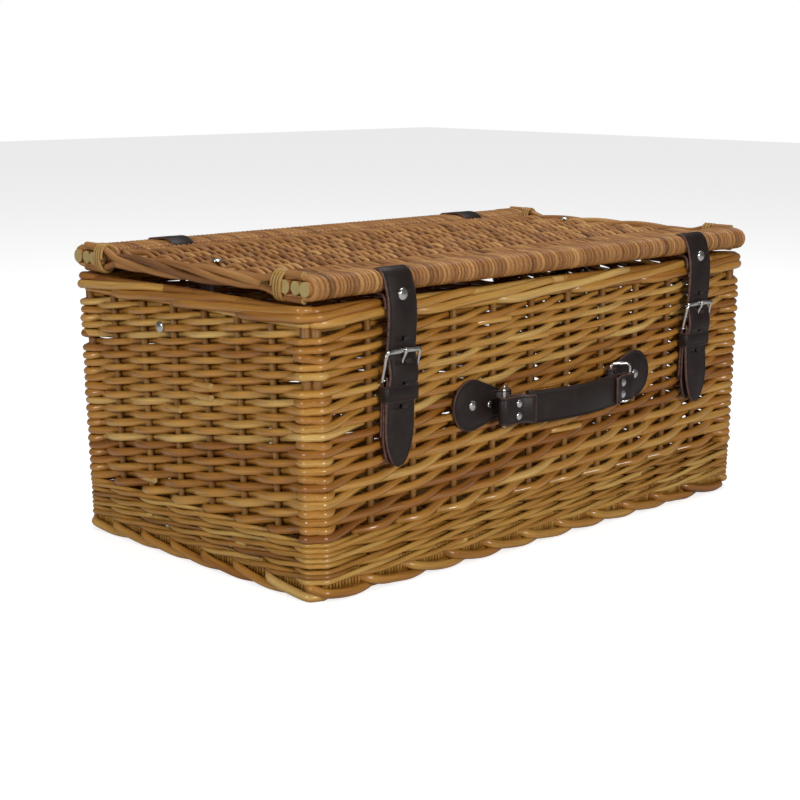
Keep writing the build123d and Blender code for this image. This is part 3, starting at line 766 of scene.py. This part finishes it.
def lid_weaver_line(x, odd):
    """Line of one lid weaver: round the front bundle, over and under the sticks, round the back."""
    near = HALF_DEPTH - BUNDLE_R - 0.8
    rise = BUNDLE_R + 1.0
    under = [(-BUNDLE_IN + 2, LID_MID - 2.0), (-BUNDLE_IN - 6, LID_MID - rise), (-near + 4, LID_MID - rise)]
    nose = [(a, b) for a, b in arc((-near, LID_MID), rise, 262, 98, 6)]
    over = [(-near + 7, LID_MID + rise), (-BUNDLE_IN - 9, LID_MID + rise), (-BUNDLE_IN + 3, LID_MID + 3.4)]
    half = under + nose + over
    middle = [(y, LID_MID + (4.3 if (j + odd) % 2 else -4.3)) for j, y in enumerate(LID_STICKS_Y)]
    back = [(-y, z) for y, z in half[::-1]]
    lean = rng.normal(0, 0.35)
    points = [(x + lean * math.sin(y / 40.0), y, z) for y, z in half + middle + back]
    return points


def make_lid_weave():
    panel = Solid("lid_weave_rods")
    front = Solid("lid_front_wrap_rods")
    back = Solid("lid_back_wrap_rods")
    for i, (x, size) in enumerate(spaced(-PANEL_HALF, PANEL_HALF, WEAVER_WIDTH)):
        line = curve(lid_weaver_line(x, i), 3.4)
        tint = float(np.clip(rng.normal(0.58, 0.17), 0.04, 1))
        cut = BUNDLE_IN + 1.0
        first = int(np.argmax((line[:, 1] > -cut) & (line[:, 2] > LID_MID + 1)))
        last = len(line) - 1 - int(np.argmax((line[::-1, 1] < cut) & (line[::-1, 2] > LID_MID + 1)))
        flat = 0.5 * size / WEAVER_THICK
        shape = {"radius": WEAVER_THICK, "tint": tint, "sides": 8, "up": X_AXIS, "flat": flat}
        front.rod(line[: first + 1], **shape)
        panel.rod(line[first : last + 1], **shape)
        back.rod(line[last:], **shape)
    for sign in (LEFT, RIGHT):
        for step in range(4):
            x = sign * (PANEL_HALF + 2.4 + step * 4.6)
            for solid, end in ((front, -1), (back, 1)):
                solid.rod(band_round_bundle(x, end), 2.35, tone(), sides=8, up=X_AXIS)
    place(panel, lid_willow, "lid_willow", ["lid_weave"], "lid")
    place(front, lid_willow, "lid_willow", ["lid_front_wrap"], "lid")
    place(back, lid_willow, "lid_willow", ["lid_back_wrap"], "lid")


def band_round_bundle(x, end):
    """Closed turn round a whole bundle, beyond the woven panel."""
    outer = HALF_DEPTH - BUNDLE_R - 0.8
    inner = BUNDLE_IN + BUNDLE_R + 0.8
    rise = BUNDLE_R + 1.1
    ring = np.vstack([arc((inner, LID_MID), rise, 200, 90, 5), arc((outer, LID_MID), rise, 90, -90, 9),
                      arc((inner, LID_MID), rise, 270, 160, 5)])
    return curve([(x, end * y, z) for y, z in ring], 3.0)


def make_lid_sticks():
    for name, end in (("front", -1), ("back", 1)):
        solid = Solid(f"lid_{name}_stick_rods")
        middle = end * (HALF_DEPTH + BUNDLE_IN) / 2
        for step in (-1, 0, 1):
            reach = 252.0 + (0.8, -0.6, 0.0)[step + 1]
            y = middle + step * BUNDLE_STEP
            path = [(x, y, LID_MID) for x in np.linspace(-reach, reach, 14)]
            solid.rod(path, BUNDLE_R - 0.35 * (step != end), 0.55, sides=16, cut=(True, True))
        place(solid, stick_willow, "stick_willow", [f"lid_{name}_sticks"], "lid")
    solid = Solid("lid_stick_rods")
    for y in LID_STICKS_Y:
        reach = 243.0 + rng.uniform(-1.5, 1.5)
        path = [(x, y, LID_MID) for x in np.linspace(-reach, reach, 14)]
        solid.rod(path, 3.1, 0.5, sides=10, cut=(True, True))
    place(solid, stick_willow, "stick_willow", ["lid_sticks"], "lid")


def make_lid_borders():
    """Loose plaits of rods along both ends, over and under the ends of the bundles."""
    for side, sign in SIDES.items():
        solid = Solid(f"lid_{side}_border_rods")
        for strand in range(4):
            controls = []
            for j in range(13):
                y = -HALF_DEPTH + 12 + j * (2 * HALF_DEPTH - 24) / 12
                share = j / 12
                turn = strand * math.pi / 2 + share * 2.6 * math.pi
                bow = math.sin(share * math.pi)
                x = 246.5 + 2.6 * bow + 3.0 * math.cos(turn) * bow
                z = LID_MID + 4.6 * math.sin(turn) * (0.35 + 0.65 * bow)
                if j < 2 or j > 10:
                    x = 247.5 + strand % 2
                    z = LID_MID + (8.6 if strand < 2 else -8.4) * (1 if j in (0, 12) else 0.93)
                controls.append((sign * x, y, z))
            if strand % 2:
                controls = controls[2:-2]
            radius = 2.75 * rng.uniform(0.93, 1.08)
            solid.rod(curve(controls, 4.5), radius, tone(), sides=10, cut=(True, True))
        place(solid, lid_willow, "lid_willow", [f"lid_{side}_border"], "lid")


def make_corner_bindings():
    """Three turns of split willow that hold a plait's end to its bundle."""
    solid = Solid("lid_corner_binding_turns")
    for sign in (LEFT, RIGHT):
        for end in (-1, 1):
            controls = []
            for j in range(3 * 12 + 5):
                turn = j / 12 * 2 * math.pi
                y = BUNDLE_IN - 6.0 + j / 12 * 2.9 + 0.6 * math.sin(turn)
                x = 246.8 + 6.6 * math.cos(turn)
                z = LID_MID + 10.4 * math.sin(turn)
                controls.append((sign * x, end * y, z))
            solid.rod(curve(controls, 2.0), 1.25, 0.55, sides=8, up=Y_AXIS, flat=1.0, cut=(True, True))
    place(solid, skein, "binding_skein", ["lid_corner_bindings"], "lid")


# ---- straps -----------------------------------------------------------------------------------
def middle_x(node):
    low, high = box_mm(node)
    return (low[0] + high[0]) / 2


STRAP_X = {side: middle_x(f"{side}_strap_tail") for side in SIDES}
STRAP_WIDTH = 28.0
STRAP_THICK = 2.4
BAR_OUT, BAR_Z = 4.6, 153.5
FRAME_SLANT, PRONG_SLANT = 13.5, 15.0


def front_line(places, x):
    """Points of a strap on the front wall from (distance out of the wall, height)."""
    return np.array([(x, -HALF_DEPTH - out, z) for out, z in places])


def pierce(made, holes):
    """Cuts round holes given as (centre, axis, radius, length), in millimetres."""
    cutter = Solid("cutter")
    for centre, axis, radius, length in holes:
        cutter.turned(centre, axis, [(radius, -length / 2), (radius, length / 2)], sides=14)
    tool = cutter.made(leather)
    modifier = made.modifiers.new("holes", "BOOLEAN")
    modifier.operation = "DIFFERENCE"
    modifier.solver = "EXACT"
    modifier.object = tool
    view_layer = bpy.context.view_layer
    view_layer.update()
    done = bpy.data.meshes.new_from_object(made.evaluated_get(bpy.context.evaluated_depsgraph_get()))
    made.modifiers.clear()
    made.data = done
    bpy.data.objects.remove(tool)


LEAN_OVER = {"left": 3.0, "right": 5.0}     # the straps hang a little out of plumb


def hung(places, x, side):
    """Middle line of a strap that hangs down the front, out of plumb below its rivet."""
    line = front_line(places, x)
    line[:, 0] -= LEAN_OVER[side] * np.clip((205.0 - line[:, 2]) / 115.0, 0, 1)
    return line


def make_lid_strap(side, x):
    """Loop round the outer stick of the front bundle, and the free end that runs through the buckle."""
    top, under = LID_TOP + 1.5, LID_UNDER - 1.5
    inner = -HALF_DEPTH + 11.8
    loop = Solid(f"{side}_strap_loop_leather")
    ring = [(-HALF_DEPTH - 3.4, 203), (-HALF_DEPTH - 3.2, 208), (-HALF_DEPTH - 0.8, under - 1.0),
            (-HALF_DEPTH + 5, under), (inner - 2.4, under + 1.0), (inner, under + 4), (inner, LID_MID),
            (inner, top - 4), (inner - 2.4, top - 0.9), (-HALF_DEPTH + 5.4, top),
            (-HALF_DEPTH + 1.2, top - 1.6),
            (-HALF_DEPTH - 1.4, top - 5.2), (-HALF_DEPTH - 3.2, top - 10), (-HALF_DEPTH - 4.9, 215.0)]
    line = curve([(x, y, z) for y, z in ring], 1.4)
    loop.strip(line, X_AXIS, STRAP_WIDTH, STRAP_THICK, raw=(True, False))
    place(loop, leather, "leather", [f"{side}_strap_loop"], "lid")
    tail = Solid(f"{side}_strap_tail_leather")
    slack = 2.6 if side == "right" else 0.0
    middle = [(4.9, 215.0), (6.0, 210), (6.6, 204), (6.9, 194), (6.6, 182), (6.2, 172), (8.6, 164),
              (9.8, 157), (8.8, 150), (6.8, 143), (6.3 + 0.4 * slack, 130), (6.3 + slack, 112),
              (6.3 + 1.3 * slack, 90)]
    line = curve(hung(middle, x, side), 1.5)
    width = np.interp(line[:, 2], [90, 90.6, 92, 96, 104, 112, 118],
                      [3.0, 7.0, 11.0, 17.0, 24.0, STRAP_WIDTH - 0.8, STRAP_WIDTH])
    tail.strip(line, X_AXIS, width, STRAP_THICK, raw=(False, True))
    made = place(tail, leather, "leather", [f"{side}_strap_tail"])
    holes = []
    for z in (182.0, 166.0, 149.8, 133.6):
        spot = curve(hung(middle, x, side), 1.0)
        at = spot[np.argmin(np.abs(spot[:, 2] - z))]
        holes.append((at, Y_AXIS, 1.7, 14))
    pierce(made, holes)
    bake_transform(made)


def make_buckle_strap(side, x):
    """Two layers folded over the buckle's pivot bar, the inner one riveted to the wall."""
    solid = Solid(f"{side}_buckle_strap_leather")
    fold = [(BAR_OUT + a, BAR_Z + b) for a, b in arc((0, 0), 2.3, 180, 0, 9)]
    apart = 0.0 if side == "left" else 0.6
    middle = [(1.5, 112), (1.5, 130), (2.1, 147)] + fold + [(6.2, 148), (4.5, 142), (3.9, 135), (3.9, 118),
                                                           (3.9 + apart, 92)]
    line = curve(hung(middle, x, side), 1.4)
    outer = np.arange(len(line)) > len(line) * 0.48
    tip = np.interp(line[:, 2], [92, 93, 96, 106, 110], [12.0, 16.0, 21.0, STRAP_WIDTH - 1, STRAP_WIDTH])
    solid.strip(line, X_AXIS, np.where(outer, tip, STRAP_WIDTH), 2.1)
    place(solid, leather, "leather", [f"{side}_buckle_strap"], "basket")


def make_buckle(side, x):
    """Wire buckle with a flat top bar, and its prong curled over that bar."""
    pivot = hung([(BAR_OUT, BAR_Z)], x, side)[0]

    def leaning(points, slant):
        a = math.radians(slant)
        p = np.asarray(points, float)
        y = p[:, 1] * math.cos(a) - p[:, 2] * math.sin(a)
        z = p[:, 1] * math.sin(a) + p[:, 2] * math.cos(a)
        return np.column_stack([p[:, 0], y, z]) + pivot

    body = Solid(f"{side}_buckle_metal")
    half, top, r = 16.1, 20.6, 2.5
    bend = [(a, 0, b) for a, b in arc((r - half, top - r), r, 180, 90, 5)]
    arm = [(-half, 0, 0), (-half, 0, 9)] + bend
    whole = arm + [(-x_, y_, z_) for x_, y_, z_ in arm[::-1]]
    body.rod(leaning(curve(whole, 1.6), FRAME_SLANT), 1.2, sides=12, up=Y_AXIS)
    body.rod(leaning([(a, 0, 0) for a in np.linspace(-17.2, 17.2, 8)], FRAME_SLANT), 1.2, sides=12)
    body.strip(leaning([(a, -0.1, top) for a in np.linspace(-16.8, 16.8, 12)], FRAME_SLANT)[::-1],
               unit(leaning([(0, 0, 1)], FRAME_SLANT) - pivot)[0], 3.6, 1.9, crease=0, soft=0.8)
    place(body, nickel, "nickel", [f"{side}_buckle_frame"], f"{side}_buckle")
    pin = Solid(f"{side}_prong_metal")
    eye = [(0, a, b) for a, b in arc((0, 0), 2.1, -216, 81, 12)]
    shaft = eye + [(0, -0.2, 8), (0, -0.2, 15), (0, -1.4, 19), (0, -1.9, 21.5), (0, -1.1, 23.6)]
    line = curve(leaning(shaft, PRONG_SLANT), 1.2)
    size = np.interp(np.linspace(0, 1, len(line)), [0, 0.9, 1], [1.25, 1.2, 0.8])
    pin.rod(line, size, sides=12, up=X_AXIS)
    place(pin, nickel, "nickel", [f"{side}_prong"], f"{side}_prong")


def make_keeper(side, x):
    low, high = box_mm(f"{side}_keeper")
    solid = Solid(f"{side}_keeper_leather")
    corner = 1.6
    half = 15.6
    near, far = 1.0, 9.0
    middle = (low[2] + high[2]) / 2
    centre = hung([(0.0, middle)], x, side)[0][0]
    ring = []
    for cx, cy, start in ((half, far, 0), (-half, far, 90), (-half, near, 180), (half, near, 270)):
        middle_of = (cx - math.copysign(corner, cx), cy - (corner if cy == far else -corner))
        ring += [(a, b) for a, b in arc(middle_of, corner, start, start + 90, 5)]
    line = [(centre + a, -HALF_DEPTH - b, middle) for a, b in ring]
    solid.strip(line, (0, 0, -1.0), high[2] - low[2], 1.6, closed=True, crease=1.6)
    place(solid, leather, "leather", [f"{side}_keeper"], f"{side}_keeper")


def dome(radius, tall, shank, length):
    """Profile of a rivet: a shank, then a domed head with a rolled rim."""
    rim = 0.25
    head = []
    for a in np.linspace(0, 1.5, 7):
        head.append((radius * math.cos(a), length + rim + (tall - rim) * math.sin(a)))
    cap = [(shank + 1.4, 0), (shank + 1.4, 0.7), (shank, 0.8)]
    return cap + [(shank, length), (radius - 0.1, length)] + head


def rivets(name, places, axis, profile, nodes, body):
    solid = Solid(name)
    for foot in places:
        way = axis if not callable(axis) else axis(foot)
        solid.turned(foot, way, profile, sides=24)
    place(solid, nickel, "nickel", nodes, body)


def make_straps():
    for side, x in STRAP_X.items():
        make_lid_strap(side, x)
        make_buckle_strap(side, x)
        make_buckle(side, x)
        make_keeper(side, x)
    face = -HALF_DEPTH
    rivets("strap_loop_rivet_heads", [(x, face - 2.2, 213.5) for x in STRAP_X.values()], FORWARD,
           dome(4.5, 2.2, 1.5, 4.6), ["strap_loop_rivets"], "lid")
    rivets("buckle_strap_rivet_heads", [(x, face + 13.8, 119) for x in STRAP_X.values()], FORWARD,
           dome(4.0, 1.4, 1.5, 17.1), ["buckle_strap_rivets"], "basket")


HINGE_X = 170.0


def make_hinges():
    """Leather straps round the back bundle that carry the lid: one fixed piece each, shaped for the closed
    lid.
    """
    y = HALF_DEPTH
    ring = [(y + 3.3, 184), (y + 3.3, 198), (y + 3.3, 208), (y + 3.2, 214), (y + 2.4, 219), (y + 1.4, 224),
            (y - 1.2, LID_TOP + 0.6), (y - 7, LID_TOP + 1.5), (BUNDLE_IN + 5, LID_TOP + 1.5),
            (BUNDLE_IN, LID_TOP - 1.5), (BUNDLE_IN - 1.4, LID_MID), (BUNDLE_IN, LID_UNDER + 1.5),
            (BUNDLE_IN + 5, LID_UNDER - 1.3), (y - 9, LID_UNDER - 1.3), (y - 2.5, LID_UNDER - 0.9)]
    for side, sign in SIDES.items():
        x = sign * HINGE_X
        solid = Solid(f"{side}_hinge_strap_leather")
        line = curve([(x, a, b) for a, b in ring], 1.5)
        solid.strip(line, X_AXIS, 22.0, 2.0, crease=1.8)
        nodes = ["hinge_loops"] if side == "left" else ["hinge_tabs"]
        made = place(solid, leather, "leather", nodes)
        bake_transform(made)
    places = [(sign * HINGE_X, y - 14.8, 203) for sign in (LEFT, RIGHT)]
    rivets("hinge_tab_rivet_heads", places, Y_AXIS, dome(4.0, 1.9, 1.5, 19.1),
           ["hinge_tab_rivets"], "basket")


# ---- handle -----------------------------------------------------------------------------------
PATCH_X, PATCH_Z, PATCH_R = 96.5, 122.5, 19.7
RING_Z, RING_TALL = 119.75, 31.0
RING_IN, RING_OUT = (62.0, 6.0), (75.0, 15.1)
GRIP_Z, GRIP_TALL = 117.0, 21.6
GRIP_OUT, GRIP_BOW = 17.9, 8.0


def patch_outline():
    """Teardrop: a round end and two straight sides that run in to the neck held by the ring."""
    end = arc((PATCH_X, PATCH_Z), PATCH_R, -104, 112, 30)
    upper = curve([end[-1], (63.5, 130.6)], 2.5)[1:]
    lower = curve([(63.5, 110.4), end[0]], 2.5)[:-1]
    return np.vstack([end, upper, lower])


def make_patches():
    for side, sign in SIDES.items():
        solid = Solid(f"{side}_handle_patch_leather")
        outline = patch_outline()
        if sign == LEFT:
            outline = outline[::-1] * (-1, 1)

        def seat(p):
            return np.column_stack([p[:, 0], -HALF_DEPTH - 0.7 - p[:, 2], p[:, 1]])

        solid.plate(outline, seat, 2.3)
        fold = [tuple(p) for p in arc(RING_IN, 2.6, 75, 285, 9)]
        bend = [(77, 1.8), (72, 2.6), (68, 4.6), (64.8, 7.4)] + fold + [(66, 2.6), (72, 2.0)]
        line = curve([(sign * a, -HALF_DEPTH - b, 121.5) for a, b in bend], 1.2)
        if sign == RIGHT:
            line = line[::-1]
        solid.strip(line, Z_AXIS, 19.6, 1.9, crease=1.8, raw=(False, False))
        place(solid, leather, "leather", [f"{side}_handle_patch"], "basket")
    places = [(s * PATCH_X, -HALF_DEPTH + 13.8, PATCH_Z) for s in (LEFT, RIGHT)]
    rivets("handle_patch_rivet_heads", places, FORWARD, dome(4.0, 2.0, 1.5, 17.0),
           ["handle_patch_rivets"], "basket")
    places = [(s * 77.5, -HALF_DEPTH - 1.6, 121.0) for s in (LEFT, RIGHT)]
    rivets("handle_neck_rivet_heads", places, FORWARD, dome(2.6, 1.2, 0.8, 1.4), (), "basket")


def make_rings():
    for side, sign in SIDES.items():
        solid = Solid(f"{side}_ring_wire")
        inner = np.array((sign * RING_IN[0], -HALF_DEPTH - RING_IN[1], 0))
        outer = np.array((sign * RING_OUT[0], -HALF_DEPTH - RING_OUT[1], 0))
        reach = np.linalg.norm(outer - inner)
        way = (outer - inner) / reach
        middle = (inner + outer) / 2 + (0, 0, RING_Z)
        half_a, half_b, r = reach / 2, RING_TALL / 2, 3.4
        ring = []
        for ca, cb, start in ((1, 1, 0), (-1, 1, 90), (-1, -1, 180), (1, -1, 270)):
            ring += [tuple(p) for p in arc((ca * (half_a - r), cb * (half_b - r)), r, start, start + 90, 7)]
        ring += ring[:2]
        path = np.array([middle + way * a + np.array(Z_AXIS) * b for a, b in ring])
        flat_normal = np.cross(way, Z_AXIS)
        solid.rod(path, 1.35, sides=12, up=flat_normal)
        place(solid, nickel, "nickel", [f"{side}_ring"], f"{side}_ring")


def bow(reach, count):
    along = np.linspace(-reach, reach, count)
    return [(a, GRIP_OUT + GRIP_BOW * math.cos(a / reach * math.pi / 2)) for a in along]


def make_grip():
    strap = Solid("grip_strap_leather")
    turn = [tuple(p) for p in arc(RING_OUT, 2.8, 90, -90, 9)]
    half = [(48.5, 23.6), (52.5, 22.9), (57, 20.0), (62, 18.1)] + turn + [(66, 12.2), (57, 13.0)]
    path = half + bow(50, 13)[::-1] + [(-a, b) for a, b in half[::-1]]
    line = curve([(a, -HALF_DEPTH - b, GRIP_Z) for a, b in path], 1.5)
    strap.strip(line, Z_AXIS, GRIP_TALL, 2.2, crease=2.0)
    place(strap, leather, "leather", ["grip_strap"], "grip")
    cover = Solid("grip_cover_leather")
    line = curve([(a, -HALF_DEPTH - b, GRIP_Z) for a, b in bow(52, 15)], 2.0)
    cover.strip(line, Z_AXIS, 25.6, 6.6, crease=2.6, soft=0.42, raw=(False, False), cut=0.0)
    place(cover, leather, "leather", ["grip_cover"], "grip")
    places = [(s * 62.0, -HALF_DEPTH - 10.4, GRIP_Z + rise) for s in (LEFT, RIGHT) for rise in (-4.7, 4.7)]
    rivets("grip_rivet_heads", places, FORWARD, dome(3.3, 1.5, 1.5, 8.6), ["grip_rivets"], "grip")


# ---- lid stays --------------------------------------------------------------------------------
STAY_END_R = 6.0
STAY_THICK = 1.8
WALL_STUD = (233.6, 26.0, 179.0)
LID_STUD_Y = {LEFT: -7.0, RIGHT: 43.0}


def make_stays():
    for side, sign in SIDES.items():
        for part in ("lower", "upper"):
            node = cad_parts[f"{side}_stay_{part}"]
            flat = np.array([node.matrix_world @ v.co for v in node.data.vertices])[:, 1:] / MM
            solid = Solid(f"{side}_stay_{part}_leather")
            start, end = stay_ends(flat)
            low, high = box_mm(f"{side}_stay_{part}")
            outer = high[0] if sign == RIGHT else low[0]
            way = unit(end - start)
            turn = math.degrees(math.atan2(way[1], way[0]))
            outline = np.vstack([arc(end, STAY_END_R, turn - 90, turn + 90, 12),
                                 arc(start, STAY_END_R, turn + 90, turn + 270, 12)])
            if sign == LEFT:
                outline = outline[::-1]

            def seat(p):
                inner = outer - sign * STAY_THICK
                return np.column_stack([inner + sign * p[:, 2], p[:, 0] - CENTRE_Y, p[:, 1]])

            solid.plate(outline, seat, STAY_THICK, crease=1.5)
            place(solid, leather, "leather", [f"{side}_stay_{part}"], f"{side}_stay_{part}")
    make_stay_studs()


def stay_ends(flat):
    """Centres of a stay link's two round ends, from the points of its flat outline."""
    middle = (flat.min(axis=0) + flat.max(axis=0)) / 2
    far = flat[np.argmax(np.linalg.norm(flat - middle, axis=1))]
    way = unit(far - middle)
    spread = (flat - middle) @ way
    across = (flat - middle) @ np.array((-way[1], way[0]))
    tilt = np.polyfit(spread, across, 1)[0]
    way = unit(way + tilt * np.array((-way[1], way[0])))
    spread = (flat - middle) @ way
    return middle + way * (spread.min() + STAY_END_R), middle + way * (spread.max() - STAY_END_R)


def make_stay_studs():
    high = box_mm("wall_stay_studs")[1]
    inside, y, z = WALL_STUD
    tall = 2.2
    rivets("wall_stay_stud_heads", [(sign * inside, y, z) for sign in (LEFT, RIGHT)],
           lambda foot: (math.copysign(1, foot[0]), 0, 0), dome(4.5, tall, 1.5, high[0] - inside - tall),
           ["wall_stay_studs"], "basket")
    low = LID_UNDER - 0.9
    rivets("lid_stay_stud_heads", [(sign * 226.0, y, low) for sign, y in LID_STUD_Y.items()], Z_AXIS,
           dome(4.5, tall, 1.5, LID_TOP - 1.0 - low), ["lid_stay_studs"], "lid")
    tabs = Solid("lid_stay_tab_leather")
    for sign, y in LID_STUD_Y.items():
        bend = [(220, 215.8), (228, 215.8), (233.6, 215.2), (235.4, 212), (235.4, 204)]
        line = curve([(sign * x, y, z) for x, z in bend], 1.2)
        tabs.strip(line if sign == RIGHT else line[::-1], Y_AXIS, 12.0, STAY_THICK, crease=1.5)
    place(tabs, leather, "leather", ["lid_stay_tabs"], "lid")


# ---- studio -----------------------------------------------------------------------------------
AMBIENT = 0.13           # the white room lights the hamper less brightly than it looks
FLOOR_GLOW = 0.74        # the same for the floor, which would look grey without it


def make_floor():
    mesh = bpy.data.meshes.new("floor")
    half = 6.0
    corners = [(-half, -half, 0), (half, -half, 0), (half, half, 0), (-half, half, 0)]
    mesh.from_pydata(corners, [], [(0, 1, 2, 3)])
    material = bpy.data.materials.new("pale_floor")
    tree = Tree(material)
    shader = tree.nodes["Principled BSDF"]
    for name, value in (("Base Color", (0.62, 0.62, 0.62)), ("Roughness", 0.9), ("Specular IOR Level", 0.0),
                        ("Emission Color", (1.0, 1.0, 1.0))):
        tree.feed(shader.inputs[name], value)
    seen = tree.nodes.new("ShaderNodeLightPath").outputs["Is Camera Ray"]
    tree.feed(shader.inputs["Emission Strength"], tree.maths("MULTIPLY", seen, FLOOR_GLOW))
    mesh.materials.append(material)
    floor = bpy.data.objects.new("floor", mesh)
    bpy.context.collection.objects.link(floor)
    floor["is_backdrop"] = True


def area_light(name, spot, target, size, power, colour):
    data = bpy.data.lights.new(name, "AREA")
    data.shape = "RECTANGLE"
    data.size, data.size_y = size
    data.energy = power
    data.color = colour
    lamp = bpy.data.objects.new(name, data)
    lamp.location = spot
    lamp.rotation_euler = (Vector(target) - Vector(spot)).to_track_quat("-Z", "Y").to_euler()
    bpy.context.collection.objects.link(lamp)


def make_studio():
    world = bpy.data.worlds.new("studio")
    tree = Tree(world)
    seen = tree.nodes.new("ShaderNodeLightPath").outputs["Is Camera Ray"]
    sky = tree.nodes["Background"]
    tree.feed(sky.inputs["Strength"], tree.maths("MULTIPLY_ADD", seen, 1.0 - AMBIENT, AMBIENT))
    tree.feed(sky.inputs["Color"], (1.0, 1.0, 1.0))
    bpy.context.scene.world = world
    middle = (0.0, 0.0, 0.1)
    area_light("key", (-0.6, -2.3, 0.9), middle, (0.6, 0.3), 27.0, (1.0, 0.98, 0.95))
    area_light("side", (-2.3, -0.3, 0.9), middle, (0.5, 0.5), 17.0, (1.0, 1.0, 1.0))
    area_light("top", (0.3, 0.2, 2.2), middle, (1.2, 1.2), 24.0, (1.0, 1.0, 1.0))


def make_camera():
    """The camera looks at the hamper from the front left and a little above it."""
    distance, azimuth, elevation, roll = 1.4, -44.18, 11.40, 0.217
    target = Vector((-0.0306, CENTRE_Y * MM, 0.0964))
    a, e = math.radians(azimuth), math.radians(elevation)
    back = Vector((math.sin(a) * math.cos(e), -math.cos(a) * math.cos(e), math.sin(e)))
    data = bpy.data.cameras.new("camera")
    data.lens = 75.56
    data.sensor_width = 36.0
    camera = bpy.data.objects.new("camera", data)
    turn = back.to_track_quat("Z", "Y").to_matrix().to_4x4() @ Matrix.Rotation(math.radians(roll), 4, "Z")
    camera.matrix_world = Matrix.Translation(target + back * distance) @ turn
    bpy.context.collection.objects.link(camera)
    bpy.context.scene.camera = camera


bpy.context.scene.view_settings.view_transform = "Standard"
make_camera()
make_floor()
make_studio()
make_weave()
make_uprights()
make_waling()
make_borders()
make_base()
make_lid_weave()
make_lid_sticks()
make_lid_borders()
make_corner_bindings()
make_straps()
make_hinges()
make_patches()
make_rings()
make_grip()
make_stays()

sizes = {"cad": cad_box, "visual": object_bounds()}
str({name: [list(corner) for corner in box] for name, box in sizes.items()}).replace("'", '"')
